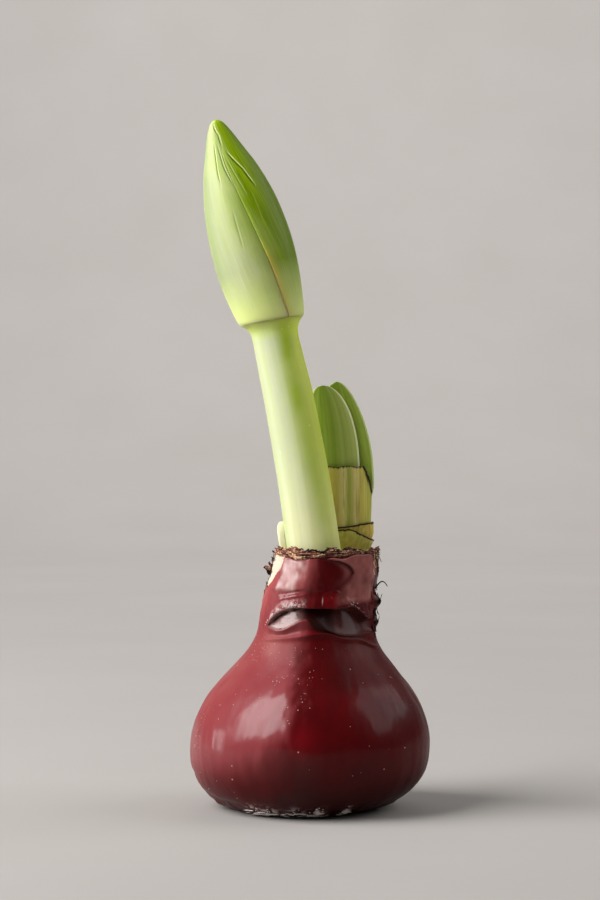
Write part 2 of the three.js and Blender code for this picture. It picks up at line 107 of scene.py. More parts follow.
def grain(points, size, seed, octaves=1):
    # value noise: random numbers at the corners of cubes of that size, eased between; each octave has cubes
    # and numbers half as big as the last
    total, weight = 0, 1
    for octave in range(octaves):
        spot = np.asarray(points, float) / np.asarray(size) * 2**octave + 31.7 * octave
        cell = np.floor(spot).astype(np.int64)
        part = spot - cell
        part = part * part * (3 - 2 * part)
        for corner in np.ndindex(2, 2, 2):
            near = np.where(corner, part, 1 - part).prod(-1)
            i, j, k = (cell[..., axis] + corner[axis] for axis in range(3))
            total = total + weight * near * cornerValue(i, j, k, seed + octave)
        weight *= 0.5
    return total


# meshes

def gridSurface(points, marks, rowsClose=False):
    # rows x columns of points to a closed skin: columns close on themselves, and rows too or with a fan at
    # each end. A leading axis holds copies, and each mark is one number for every point.
    points = points if points.ndim == 4 else points[None]
    copies, rows, columns = points.shape[:3]
    values = [np.broadcast_to(mark, points.shape[:3]) for mark in marks.values()]
    table = np.concatenate([points, np.stack(values, -1)], -1)
    index = np.arange(rows * columns).reshape(rows, columns)
    below = index if rowsClose else index[:-1]
    above = np.roll(index, -1, 0) if rowsClose else index[1:]
    quads = np.stack([below, np.roll(below, -1, 1), np.roll(above, -1, 1), above], -1).reshape(-1, 4)
    triangles = np.zeros((0, 3), int)
    flat = table.reshape(copies, rows * columns, -1)
    if not rowsClose:
        low, high = np.full((2, columns), [[rows * columns], [rows * columns + 1]])
        flat = np.concatenate([flat, table[:, [0, -1]].mean(2)], 1)
        ends = [[np.roll(index[0], -1), index[0], low], [index[-1], np.roll(index[-1], -1), high]]
        triangles = np.concatenate(ends, 1).T
    corners = np.vstack([quads[:, [0, 1, 2]], quads[:, [0, 2, 3]], triangles])
    a, b, c = (flat[0, corners[:, i], :3] - flat[0, :, :3].mean(0) for i in range(3))
    if np.einsum("ij,ij->", a, np.cross(b, c)) < 0:  # the volume is negative where faces look inwards
        quads, triangles = quads[:, ::-1], triangles[:, ::-1]
    step = flat.shape[1] * np.arange(copies)[:, None, None]
    return {
        "table": flat.reshape(-1, flat.shape[-1]),
        "quads": (quads + step).reshape(-1, 4),
        "triangles": (triangles + step).reshape(-1, 3),
        "marks": list(marks),
    }


def onEachCopy(marks):  # marks with one number for each copy, ready for the copies' points
    return {key: np.reshape(value, (-1, 1, 1)) for key, value in marks.items()}


def blobs(centres, outwards, sizes, seed, marks):
    # small lumps: a coarse ball each, flattened along outwards, with every corner's reach drawn at random
    tilt = np.array([-55, -18, 18, 55])[:, None, None] * deg
    turn = allRound(7)[:, None]
    outwards = outwards[:, None, None]
    sideways = unit(np.cross(outwards, [0.3, 0.2, 1.0]))
    ball = np.cos(tilt) * (np.cos(turn) * sideways + np.sin(turn) * np.cross(outwards, sideways))
    reach = np.random.default_rng(seed).uniform(0.7, 1.3, (len(centres), 4, 7, 1))
    reach = reach * sizes[:, None, None, None]
    points = centres[:, None, None] + reach * (ball + 0.7 * np.sin(tilt) * outwards)
    return gridSurface(points, onEachCopy(marks))


def outwardsAt(angle):
    return np.stack([np.cos(angle), np.sin(angle), 0 * angle], -1)


def stripDirections(angle, up, sideways):
    # a strip runs up and sideways along an upright wall, and its flat side faces outwards
    outwards = outwardsAt(angle)
    along = unit(np.array([0, 0, 1]) * up + outwardsAt(angle + 90 * deg) * sideways)
    return along, unit(outwards - along * (outwards * along).sum(-1, keepdims=True))


def drawSizes(rng, form):  # a length, a width and a curl at random for each strip
    return [rng.uniform(*form[key], form["count"]) for key in ("lengths", "widths", "curls")]


def strips(root, along, outwards, length, width, curl, thickness, marks):
    # thin bent strips: the middle line runs along by t and outwards by curl t squared; the section is oval
    t = np.linspace(0, 1, 7)[None, :, None, None]
    turn = allRound(8)[None, None, :, None]
    root, along, outwards = (v[:, None, None, :] for v in (root, along, outwards))
    length, width, curl = (v[:, None, None, None] for v in (length, width, curl))
    across = np.cross(along, outwards)
    middle = root + length * (along * (t - 0.25) + outwards * curl * t**2)
    flat = width / 2 * (1 - 0.55 * t**2) * np.cos(turn) + 0.12 * width * np.sin(9 * t + 7 * curl)
    points = middle + across * flat + outwards * thickness / 2 * np.sin(turn)
    return gridSurface(points, onEachCopy(marks))


def makePiece(name, surfaces, material, node):
    # joins the surfaces into one mesh in metres that rides on the body and takes the node's place
    start = np.cumsum([0] + [len(surface["table"]) for surface in surfaces])
    table = np.vstack([surface["table"] for surface in surfaces]).astype(np.float32)
    quads = np.vstack([surface["quads"] + first for surface, first in zip(surfaces, start)])
    triangles = np.vstack([surface["triangles"] + first for surface, first in zip(surfaces, start)])
    mesh = bpy.data.meshes.new(name)
    mesh.vertices.add(len(table))
    mesh.vertices.foreach_set("co", (table[:, :3] / 1000).ravel())
    sizes = np.r_[np.full(len(quads), 4), np.full(len(triangles), 3)]
    mesh.loops.add(int(sizes.sum()))
    mesh.loops.foreach_set("vertex_index", np.r_[quads.ravel(), triangles.ravel()].astype(np.int32))
    mesh.polygons.add(len(sizes))
    mesh.polygons.foreach_set("loop_start", np.r_[0, np.cumsum(sizes)[:-1]].astype(np.int32))
    mesh.polygons.foreach_set("use_smooth", np.ones(len(sizes), bool))
    for column, key in enumerate(surfaces[0]["marks"], 3):
        mesh.attributes.new(key, "FLOAT", "POINT").data.foreach_set("value", table[:, column].copy())
    mesh.update(calc_edges=True)
    mesh.validate()
    mesh.materials.append(material)
    piece = bpy.data.objects.new(name, mesh)
    bpy.context.scene.collection.objects.link(piece)
    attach(piece, "root")
    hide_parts(node)
    print(name, "made with", len(quads) * 2 + len(triangles), "triangles")


# materials

def colour(text):  # sRGB hex to Blender's linear red, green, blue and alpha
    parts = [int(text[i:i + 2], 16) / 255 for i in (1, 3, 5)]
    return [p / 12.92 if p <= 0.04045 else ((p + 0.055) / 1.055) ** 2.4 for p in parts] + [1]


def scaleFor(size):  # texture scale for a pattern that size in millimetres, on coordinates in metres
    return 1000 / size


def setInputs(tree, node, inputs):
    # each input, named or numbered, takes a number, a hex colour or another node's output
    for key, value in inputs.items():
        used = [socket for socket in node.inputs if socket.enabled and socket.name == key]
        socket = used[0] if used else node.inputs[key]
        if isinstance(value, bpy.types.NodeSocket):
            tree.links.new(value, socket)
        else:
            socket.default_value = colour(value) if isinstance(value, str) else value


def addNode(tree, kind, inputs=None, output=None, stops=(), **settings):
    # one shader node with its settings, inputs and, on a colour ramp, its stops; gives the named output, or
    # the first one in use
    made = tree.nodes.new("ShaderNode" + kind)
    for key, value in settings.items():
        setattr(made, key, value)
    setInputs(tree, made, inputs or {})
    for place, shade in stops[2:]:
        made.color_ramp.elements.new(place)
    for element, (place, shade) in zip(made.color_ramp.elements if stops else (), sorted(stops)):
        element.position, element.color = place, colour(shade)
    return made.outputs[output] if output else [socket for socket in made.outputs if socket.enabled][0]


def newMaterial(name, *keys):
    # an empty material, its node tree, and the mesh's marks of these names
    material = bpy.data.materials.new(name)
    material.use_nodes = True
    tree = material.node_tree
    return material, tree, *(addNode(tree, "Attribute", output="Fac", attribute_name=key) for key in keys)


def layered(tree, skin, *layers):
    # colours laid over one another, each given with its strength, a value from 0 to 1. Where limits follow,
    # the strength is how far the value has come from the first to the second, times the third if it is given.
    for tone, value, *limits in layers:
        if limits:
            named = dict(zip(("From Min", "From Max", "To Max"), limits))
            value = addNode(tree, "MapRange", {"Value": value, **named})
        skin = addNode(tree, "Mix", {"Factor": value, "A": skin, "B": tone}, data_type="RGBA")
    return skin


def tissueNoise(tree, across, along, counts, detail=4, scale=1.0):
    # noise drawn out along the plant: counts say how many cells fit in one unit of either mark
    spread = addNode(tree, "CombineXYZ", {"X": across, "Y": along})
    spread = addNode(tree, "Mapping", {"Vector": spread, "Scale": (*counts, 1)})
    return addNode(tree, "TexNoise", {"Vector": spread, "Scale": scale, "Detail": detail})


def scatteredDots(tree, place, size, limits, threshold, crowd=None):
    # at most one dot in each cell of that size, where the cell's random number, times crowd if there is one,
    # is over the threshold
    cells = addNode(tree, "TexVoronoi", {"Vector": place, "Scale": scaleFor(size)})
    dot = addNode(tree, "MapRange", {"Value": cells, **dict(zip(("From Min", "From Max", "To Max"), limits))})
    drawn = addNode(tree, "SeparateColor", {"Color": cells.node.outputs["Color"]})
    if crowd:
        drawn = addNode(tree, "Math", {0: drawn, 1: crowd}, operation="MULTIPLY")
    chosen = addNode(tree, "Math", {0: drawn, 1: threshold}, operation="GREATER_THAN")
    return addNode(tree, "Math", {0: dot, 1: chosen}, operation="MULTIPLY")


def finished(material, skin, settings, bump=()):
    # gives the shader its colour, its own settings, and a bump of height, strength and distance in metres
    tree = material.node_tree
    if bump:
        normal = addNode(tree, "Bump", dict(zip(("Height", "Strength", "Distance"), bump)))
        settings = {**settings, "Normal": normal}
    setInputs(tree, tree.nodes["Principled BSDF"], {"Base Color": skin, **settings})
    return material


# the form of the bulb: every layer is an inset of one waxed outline

bulbForm = {
    "outline": [  # radius and height
        (23.5, 0), (33, 2.1), (40.5, 7.6), (45, 14.9), (46.2, 24.5), (44.9, 33.3), (40.6, 43),
        (33.2, 52.4), (26.3, 60.8), (23.1, 67.5), (22.0, 76), (20.8, 89), (19.75, 101),
    ],
    "depthRatio": 0.97,
    "neckHeight": 101,
    "neckShift": 5.9,
    "neckOval": 0.1,
    "neckOvalTurn": 42 * deg,
    "gap": 0.3,
    "bodyWax": 1.6,
    "foldWax": 4.4,
    "rimWax": 1.0,
    "seatHeight": 85,
    "socketFloor": 91,
}


def middleAt(height):  # the base is set a little to -X, and the neck leans to +X, most of all near its top
    up = np.maximum(height, 0)
    lean = bulbForm["neckShift"] * (up / bulbForm["neckHeight"]) ** 2.2 + smooth(height, 83, 92)
    return lean - 0.4 * fade(height, 40, 70) - 2.6 * np.exp(-up / 7)


def girth(angle, height):  # fuller or flatter than round
    neck = smooth(height, 52, 80)
    belly = 0.01 * np.cos(2 * angle + 0.6) + 0.008 * np.cos(3 * angle - 0.8) + 0.004 * np.cos(5 * angle + 2)
    oval = bulbForm["neckOval"] * np.cos(2 * (angle - bulbForm["neckOvalTurn"]))
    return 1 + mix(belly, oval, neck)


def bulbSkin(angle, height, inset=0.0, relief=0.0):
    # outline radius times girth, then moved along the outline's normal by relief minus inset
    angle, height = np.broadcast_arrays(angle, height)
    radius = alongOutline(bulbForm["outline"], height)
    below = alongOutline(bulbForm["outline"], np.maximum(height - 0.2, 0))
    slope = (alongOutline(bulbForm["outline"], height + 0.2) - below) / 0.4
    steep = np.hypot(1, slope)
    reach = radius * girth(angle, height) + (relief - inset) / steep
    depth = mix(bulbForm["depthRatio"], 1, smooth(height, 52, 80))
    return np.stack([
        middleAt(height) + reach * np.cos(angle),
        reach * depth * np.sin(angle),
        height - (relief - inset) * slope / steep,
    ], -1)


def waxThickness(height):
    fold = smooth(height, 58, 66) * fade(height, 80, 84)
    thin = mix(bulbForm["bodyWax"], bulbForm["rimWax"], smooth(height, 78, 84))
    return mix(thin, bulbForm["foldWax"], fold)


def waxEdge(angle):
    # the wax's upper edge, lower on the left where the pale scale is bare, higher right of the front
    side = sideOf(angle)
    wobble = 0.35 * np.sin(7 * angle) + 0.25 * np.sin(13 * angle + 1)
    bare = (5.2 * smooth(side, -47.5, -50.5) + 6.2 * smooth(side, -52, -66)) * fade(side, -88, -116)
    return 97.4 - bare + 1.4 * smooth(side, 12, 30) * fade(side, 60, 74) + wobble


# the wax: a dipped skin with a fold in the neck, where the old outer scale hangs as a lid over a dark hollow

waxForm = {
    "columns": 356,
    "columnShares": [(0, -180), (0.14, -85), (0.86, 105), (1, 180)],  # most columns stand on the front
    "stretches": [  # levels from and to, with the rows between them
        (0, 3, 14), (3, 8, 10), (8, 56, 44), (56, 64, 14), (64, 79, 84), (79, 88, 26), (88, 98, 32),
    ],
    "insideHeights": (79, 72, 66, 60, 54, 48, 41, 33, 24, 14, 7, 2.5, 0),
    "anchors": {"foot": 58, "ridge": 66, "lip": 70, "lid": 78, "top": 98},  # levels of the fold's lines
    "ridge": [  # height and side of each point, here and for the lip and the lid
        (65.6, -100), (65.8, -62), (66.5, -45), (67.6, -18), (68.8, 2), (68.6, 14), (66.8, 26), (66.4, 36),
        (65.8, 48), (62.8, 72), (65.6, 100),
    ],
    "lip": [
        (70.5, -100), (71.4, -57), (71.2, -51), (70.3, -44), (69.9, -38), (70.5, -31), (72.0, -24),
        (73.8, -16), (74.4, -7), (72.6, 2), (70.0, 12), (68.6, 26), (68.2, 42), (68.6, 56), (68.8, 72),
        (70.5, 100),
    ],
    "lid": [
        (73.5, -100), (72.0, -57), (73.6, -50), (76.6, -42), (78.8, -32), (79.8, -18), (80.0, -4), (79.8, 12),
        (79.2, 26), (79.4, 38), (78.6, 46), (77.0, 54), (74.4, 66), (73.5, 100),
    ],
    "hollowFoot": (70.4, 66.6),  # height of its lower edge on the left and in front
    "hollowDepth": (1.9, 3.3),  # on the left, where its floor slopes evenly to the lip, and in front
    "overhang": (0.5, 1.5),
    "baseFlakes": [(-33, 5), (-22, 5), (-6, 5), (8, 4), (26, 2.5)],  # side and width of each scraped place
    "shreds": {  # at each scraped place
        "count": 9, "heights": (1.2, 3.4), "lengths": (1.2, 3.6), "widths": (0.2, 0.4), "curls": (0.0, 0.2),
    },
    "beads": [  # side, height, spread of both and count of each cluster
        (-25, 53, 11, 5, 26), (-72, 34, 6, 10, 20), (-8, 43, 6, 8, 16), (-2, 54, 6, 9, 20),
        (-54, 62, 14, 5, 30), (-20, 63, 14, 3, 18), (-45, 14, 20, 7, 12), (25, 22, 22, 10, 8),
        (48, 50, 18, 10, 10), (130, 40, 60, 18, 12), (-80, 83, 4, 5, 20), (-84, 76, 4, 5, 16),
        (-40, 44, 16, 7, 14),
    ],
    "chips": [  # how deep, side, width, height and how high
        (0.9, -58, 14, 4.0, 1.8), (0.8, -84, 7, 13.5, 1.6), (0.8, -74, 6, 6.4, 1.2),
    ],
    "glossTop": [  # height and side along the upper edge of the belly's clear gloss
        (34, -180), (34, -52), (34.5, -46), (38, -42), (42.5, -35), (46, -29), (48, -22), (49, -10),
        (49, 180),
    ],
    "facetSide": -33,
    "facetHalf": 15,
    "facetFoot": 84.6,
    "facetTilt": 1.1,  # how much further its lower edge stands out than its upper one
    "margin": [  # side and height of the old scale's margin
        (18, 80), (24, 85), (31, 88.5), (35, 91), (34.5, 92.6), (27, 94.8), (16, 96.3), (0, 97.4), (-8, 98.5),
    ],
    "blister": {"side": 13, "height": 82.4, "halfSide": 11, "halfHeight": 2.9},
    "knobs": [(88, 79.8, 6.5, 2.6, 2.7), (85, 72.0, 5.5, 2.3, 1.7)],  # side, height, both widths, how far out
}
lidLevel = waxForm["anchors"]["lid"]


def bentHeight(level, side, top):
    # straight between the fold's lines, each at its own height for every side
    levels = list(waxForm["anchors"].values())
    lines = [alongOutline(waxForm[key], side) for key in ("ridge", "lip", "lid")]
    heights = [levels[0] + 0 * side, *lines, top]
    bent = level + 0 * side
    for i in range(4):
        share = (level - levels[i]) / (levels[i + 1] - levels[i])
        bent = np.where((share >= 0) & (share <= 1), mix(heights[i], heights[i + 1], share), bent)
    return bent


def foldShown(side):
    return smooth(side, -58, -46) * fade(side, 62, 84)


def frontOfFold(side):  # 0 on the left of the fold, 1 from its middle to the right
    return smooth(side, -26, -7)


def foldShape(level, side):
    # outward: bells for the ridge and the lip, a slope falling in under the lid, a step out to its rim;
    # upward: the lid's sag
    ridge, lip = (waxForm["anchors"][key] for key in ("ridge", "lip"))
    ceiling = smooth(level, lidLevel - 0.9, lidLevel)
    front = frontOfFold(side)
    right = smooth(side, 14, 30)
    slope = np.clip((level - lip) / (lidLevel - 0.9 - lip), 0, 1) ** mix(1.0, 0.6, front)
    hollow = mix(*waxForm["hollowDepth"], front * (1 - 0.35 * right)) * slope * (1 - ceiling)
    out = mix(0.6, 0.9, front) * bell(level, ridge, 0.8) - 0.4 * bell(level, ridge + 1.9, 0.9)
    out = out + mix(0.5, 0.1, front) * bell(level, lip, 0.9) - hollow
    out = out + 0.7 * ceiling * fade(level, lidLevel + 0.5, lidLevel + 4)
    sag = mix(*waxForm["overhang"], front * (1 - right)) * ceiling
    return foldShown(side) * out, -foldShown(side) * sag * fade(level, lidLevel + 0.4, lidLevel + 3.4)


def hollowAt(level, side):  # 1 over the hollow's floor, from its lower edge to the lid
    inFront = smooth(side, -14, 2) * fade(side, 46, 60)
    foot = mix(*waxForm["hollowFoot"], inFront)
    upper = fade(level, lidLevel - 0.1, lidLevel + 0.4)
    return foldShown(side) * smooth(level, foot - 0.4, foot + 0.4) * upper


def crumbsOnLid(level, side):  # 1 along the left of the lid's rim
    return bell(level, lidLevel + 1.1, 1.3) * smooth(side, -56, -48) * fade(side, -17, -12)


def blisterAt(height, side):  # 0 at the blister's middle and 1 at its rim
    blister = waxForm["blister"]
    across = (side - blister["side"]) / blister["halfSide"]
    return np.hypot(across, (height - blister["height"]) / blister["halfHeight"])


def knobAt(height, side, knob):  # 1 at a knob's middle, falling off over its two widths
    return bell(side, knob[0], knob[2]) * bell(height, knob[1], knob[3])


def facetAt(level, height, side):
    facet = bell(side, waxForm["facetSide"], waxForm["facetHalf"]) * smooth(height, 84, 86)
    return facet * (1 - hollowAt(level, side))


def flakesAt(height, side, rest):  # 1 where the wax is scraped round the base
    patches = sum(bell(side, at, width) for at, width in waxForm["baseFlakes"])
    scraped = smooth(grain(rest, (2.2, 2.2, 0.9), 5, 2), 0.1, 0.4) * fade(height, 2.5, 7)
    return scraped * np.minimum(patches, 1)


def neckShape(height, side):
    # a flat facet, a short ridge and crease under it, a blister beside them, an old scale's margin as a step,
    # and knobs at the right
    foot = waxForm["facetFoot"]
    across = (side - waxForm["facetSide"]) / waxForm["facetHalf"]
    lower = waxForm["facetTilt"] * fade(height, foot + 0.4, 98) * bell(across, 0, 1.5)
    facet = (lower - 0.62 * np.maximum(0, 1 - across**2)) * smooth(height, foot, foot + 1.4)
    slant = height - 0.07 * (side + 25)
    ridge = (0.36 * bell(slant, 83.1, 0.33) - 0.4 * bell(slant, 85.0, 0.45)) * bell(side, -25, 10)
    away = blisterAt(height, side)
    above = smooth(height, waxForm["blister"]["height"] - 0.5, waxForm["blister"]["height"] + 1.5)
    blister = 0.3 * np.sqrt(np.maximum(0, 1 - away**2)) + 0.25 * bell(away, 1, 0.1) * above
    marginSide = alongOutline(waxForm["margin"], height)
    margin = 0.9 * smooth(side, marginSide - 0.4, marginSide + 0.9) * fade(side, 62, 80)
    knobs = sum(knob[4] * knobAt(height, side, knob) for knob in waxForm["knobs"])
    return facet + ridge + blister + margin * smooth(height, 86.5, 92) + knobs


def bellyShape(height, angle):
    # one upright swelling left of the front, shallow waves, and the base's edge chipped in steps on the left
    side = sideOf(angle)
    swelling = 2.3 * bell(side, -10, 13) * bell(height, 33, 20)
    waves = 0.28 * np.sin(5 * angle + 0.7) + 0.2 * np.sin(8 * angle + 0.12 * height)
    chips = sum(
        deep * bell(side, at, wide) * bell(height, middle, high)
        for deep, at, wide, middle, high in waxForm["chips"]
    )
    return swelling + waves * bell(height, 30, 20) - chips


def waxGrain(level, height, side, rest):
    # value noise in layers: how high, its cell size, seed and octaves, and where it shows
    neck = smooth(height, 60, 74)
    rough = neck * (1 - 0.85 * facetAt(level, height, side))
    inHollow = hollowAt(level, side)
    blister = fade(blisterAt(height, side), 0.85, 1.1)
    torn = foldShown(side) * bell(level, lidLevel + 0.6, 1.2) * smooth(side, 26, 36)
    layers = [
        (0.3, ((17, 17, 24), 3), 1),
        (0.045, ((3.6, 3.6, 11), 4, 2), 1 + rough),
        (0.17, ((5, 5, 24), 14, 2), 1 - neck),
        (0.13, ((4.5, 4.5, 6), 26, 2), bell(side, -14, 14) * (1 - neck)),
        (0.4, (0.75, 1, 2), np.maximum(crumbsOnLid(level, side), torn)),
        (0.13, ((1.8, 1.8, 2.8), 7, 2), rough * (1 - 0.85 * inHollow)),
        (0.12, (1.1, 8, 2), blister),
        (0.25, (1.2, 2, 2), smooth(level, 96.6, 98)),
        (0.45, ((4, 4, 2.4), 6, 2), fade(height, 2.5, 7)),
    ]
    flakes = 0.5 * flakesAt(height, side, rest)
    return flakes + sum(depth * grain(rest, *noise) * shown for depth, noise, shown in layers)


# the wax's marks, each from 0 to 1; unevenSide gives a border that wanders

def unevenSide(side, rest):
    return side + 5 * grain(rest, (5, 5, 9), 15, 3) + 4 * grain(rest, (2, 2, 12), 18, 2)


def darkAndShadedWax(level, height, side, rest):
    # the old scale in the hollow, darkened there also as painted shade; painted shade under the lid, a
    # painted shadow line along the old scale's margin, the knobs, a crack, specks, and painted shade low on
    # the front and right, on the front shoulder and low on the left
    hollow, inFront, turn = hollowAt(level, side), frontOfFold(side), unevenSide(side, rest)
    marginSide = alongOutline(waxForm["margin"], height)
    # a painted shadow line just left of the step at the old scale's margin
    marginShadowLine = bell(side, marginSide - 0.5, mix(1.7, 0.9, smooth(height, 94.5, 92)))
    knobs = sum(knobAt(height, side, knob) for knob in waxForm["knobs"])
    crack = bell(side, 84 + 3 * grain(rest, (9, 9, 3), 9, 2), 2.4) * smooth(height, 82, 86)
    uneven = smooth(grain(rest, (2.4, 2.4, 1.2), 17, 2), -0.5, 0.3)
    # painted shade in an uneven band under the lid's overhang
    shadeUnderLid = foldShown(side) * bell(level, lidLevel - 1.2, 1.1) * uneven
    lidSpecks = crumbsOnLid(level, side) * smooth(grain(rest, 0.55, 24, 2), 0.35, 0.75)
    floorSpecks = hollow * (1 - inFront) * smooth(grain(rest, 0.7, 25, 2), 0.55, 0.8)
    # painted shade: darker low on the front and right, on the front shoulder, and low on the left
    shadeUnderside = fade(height, 5, 26) * smooth(turn, -50, 0) * fade(turn, 110, 160)
    shadeOnShoulder = bell(turn, 20, 22) * smooth(height, 44, 52) * fade(height, 62, 68)
    shadeLeftFoot = fade(height, 14, 32) * smooth(turn, -75, -55) * fade(turn, 0, 30)
    return (1 - flakesAt(height, side, rest)) * np.maximum.reduce([
        hollow * mix(0.35, 1 - 0.3 * smooth(side, 12, 22), inFront), marginShadowLine * smooth(height, 90.5, 92),
        smooth(knobs, 0.35, 0.6), 0.9 * crack, (1 - inFront) * shadeUnderLid, 0.8 * lidSpecks, 0.8 * floorSpecks,
        0.8 * shadeUnderside, 0.3 * shadeOnShoulder, 0.3 * shadeLeftFoot,
    ])


def paleAndHighlightWax(level, height, side, rest):
    # scraped flakes and crumbs on the lid, a painted glint at the blister's end, and painted reflections on
    # the left of the facet and of the hollow
    hollow, foot = hollowAt(level, side), waxForm["facetFoot"]
    crumbs = crumbsOnLid(level, side) * smooth(grain(rest, 0.7, 10, 2), -0.5, 0.4)
    # a painted glint at the blister's left end
    paintedGlint = bell(side, waxForm["blister"]["side"] - 10.5, 0.4) * bell(height, 82.0, 0.7)
    # a painted reflection of the light on the facet's left
    facet = smooth(side, -49, -46) * fade(unevenSide(side, rest), -27, -20)
    facet = facet * (0.19 + 0.2 * grain(rest, (2.2, 2.2, 3), 20, 2))
    facet = facet * smooth(height, foot, foot + 1.4) * mix(1, 0.5, smooth(height, 95, 98))
    return np.maximum.reduce([
        flakesAt(height, side, rest), 0.55 * crumbs, 0.5 * paintedGlint, facet * (1 - hollow),
        0.22 * hollow * (1 - frontOfFold(side)),
    ])


# thinner wax over the bare pale scale, painted lighter as the lit left flank
def thinAndLitWax(level, height, side, rest):  # over the pale scale that is bare above it
    edge = waxEdge(angleOf(side))
    return 0.75 * smooth(height, edge - 16, edge - 1) * bell(side, -70, 20)


# a clearer red in the blister, and a painted glow low on the belly's front where light comes through
def clearRedAndGlowWax(level, height, side, rest):  # clear red in the blister and where light comes through the belly
    blister = fade(blisterAt(height, side), 0.5, 1.2)
    return np.maximum(0.45 * blister, 0.5 * bell(side, -3, 7) * bell(height, 31, 6))


def paintedSheenWax(level, height, side, rest):
    # painted grey sheen and reflections: in the hollow, right of the margin and in a lens left of it, on the
    # facet and shoulders
    hollow, marginSide = hollowAt(level, side), alongOutline(waxForm["margin"], height)
    softness = mix(14, 3, smooth(height, 88, 93))
    reflectionBeyond = smooth(side, marginSide - softness / 2, marginSide + softness / 2) * smooth(height, 79.5, 82)
    reflectionBeyond = reflectionBeyond * fade(side, 74, 84) * (0.85 + 0.4 * grain(rest, (3, 3, 4), 19, 2))
    lens = bell(side, marginSide - 8, 5) * bell(height, 92.5, 3)
    facetReflection = facetAt(level, height, side) * bell(height, 92, 9)
    facetReflection = facetReflection * (0.85 + 0.35 * grain(rest, (2.2, 2.2, 3), 20, 2))
    shoulderSheen = (0.5 * bell(side, -42, 22) + 0.2 * bell(side, 42, 22)) * bell(height, 64, 5)
    shoulderSheen = shoulderSheen + 0.28 * bell(side, -76, 20) * bell(height, 50, 12)
    shoulderSheen = shoulderSheen * (0.8 + 0.6 * grain(rest, (5, 5, 7), 22, 2)) * (1 - hollow)
    return np.clip(np.maximum.reduce([
        0.6 * hollow * (1 - frontOfFold(side)), 0.3 * hollow * smooth(side, 12, 22), 0.85 * reflectionBeyond,
        0.6 * lens, facetReflection, shoulderSheen,
    ]), 0, 1)


# a milky bloom on the left, painted lighter and greyer there as the haze of light on the lit side
def milkyAndLitWax(level, height, side, rest):  # on the left, its border nearer the front the higher it is
    turn, raised = unevenSide(side, rest), smooth(height, 10, 34)
    milkyAndLit = smooth(turn, mix(-14, -3, raised), mix(-75, -22, raised)) * fade(side, -110, -160)
    return milkyAndLit * smooth(height, 2, 24) * (1 - 0.5 * hollowAt(level, side))


def glossyWax(level, height, side, rest):
    # a clear gloss low on the belly's left, on the facet and in the hollow, which is where the lights show
    top = alongOutline(waxForm["glossTop"], side)
    belly = mix(0.46, 0.05, smooth(height, top - 2, top + 2)) * mix(0.4, 1, smooth(height, 12, 26))
    belly = belly * (1 - 0.4 * np.maximum(0, grain(rest, (2.6, 2.6, 26), 16, 2)))
    belly = belly * mix(0.4, 1, smooth(side, 10, -6))
    leftEnd = mix(-42, -47, smooth(height, 83, 86))
    facet = mix(0.54, 0.2, smooth(unevenSide(side, rest), -26, -19)) * smooth(height, 66, 72)
    facet = facet * mix(0.12, 1, smooth(side, leftEnd - 3, leftEnd + 2)) * (1 - crumbsOnLid(level, side))
    inHollow = mix(mix(0.75, 0.04, frontOfFold(side)), 0.2, smooth(side, 16, 24)) * fade(side, 44, 52)
    return np.maximum(belly, mix(facet, inHollow, hollowAt(level, side)))


waxMarks = {
    "dark": darkAndShadedWax, "pale": paleAndHighlightWax, "thin": thinAndLitWax, "clearRedAndGlow": clearRedAndGlowWax, "waxSheen": paintedSheenWax, "milkyAndLit": milkyAndLitWax,
    "gloss": glossyWax,
}


def makeWaxCoat():
    # up the outside, over the rim and down the inside; outside, relief is added along the outline's normal
    share, sides = np.array(waxForm["columnShares"]).T
    side = np.interp(np.linspace(0, 1, waxForm["columns"], endpoint=False), share, sides)[None]
    angle = angleOf(side)
    edge = waxEdge(angle)
    rows = [np.linspace(*stretch, endpoint=False) for stretch in waxForm["stretches"]]
    level = np.concatenate(rows)[:, None]
    height = bentHeight(level, side, edge)
    rest = bulbSkin(angle, height)
    out, up = foldShape(level, side)
    relief = out + neckShape(height, side) + bellyShape(height, angle) + waxGrain(level, height, side, rest)
    outside = bulbSkin(angle, height, 0, relief * smooth(level, 0, 0.6))
    outside[..., 2] = np.maximum(outside[..., 2] + up, 0)
    rim = [bulbSkin(angle, edge, 0.3), bulbSkin(angle, edge + 0.15, bulbForm["rimWax"] - 0.3)]
    upper = mix(edge - 0.4, 84 + 0 * edge, np.linspace(0, 1, 5)[:, None])
    inside = np.concatenate([upper, np.array(waxForm["insideHeights"])[:, None] + 0 * edge])
    points = np.concatenate([outside, *rim, bulbSkin(angle, inside, waxThickness(inside))])
    hidden = np.zeros((2 + len(inside), waxForm["columns"]))
    marks = {key: np.concatenate([mark(level, height, side, rest), hidden]) for key, mark in waxMarks.items()}
    makePiece("waxCoat", [gridSurface(points, marks), *waxCrumbs()], dippedWax(), "wax_coat")


def onlyPale(paleness, count):
    return {key: np.full(count, paleness if key == "pale" else 0.0) for key in waxMarks}


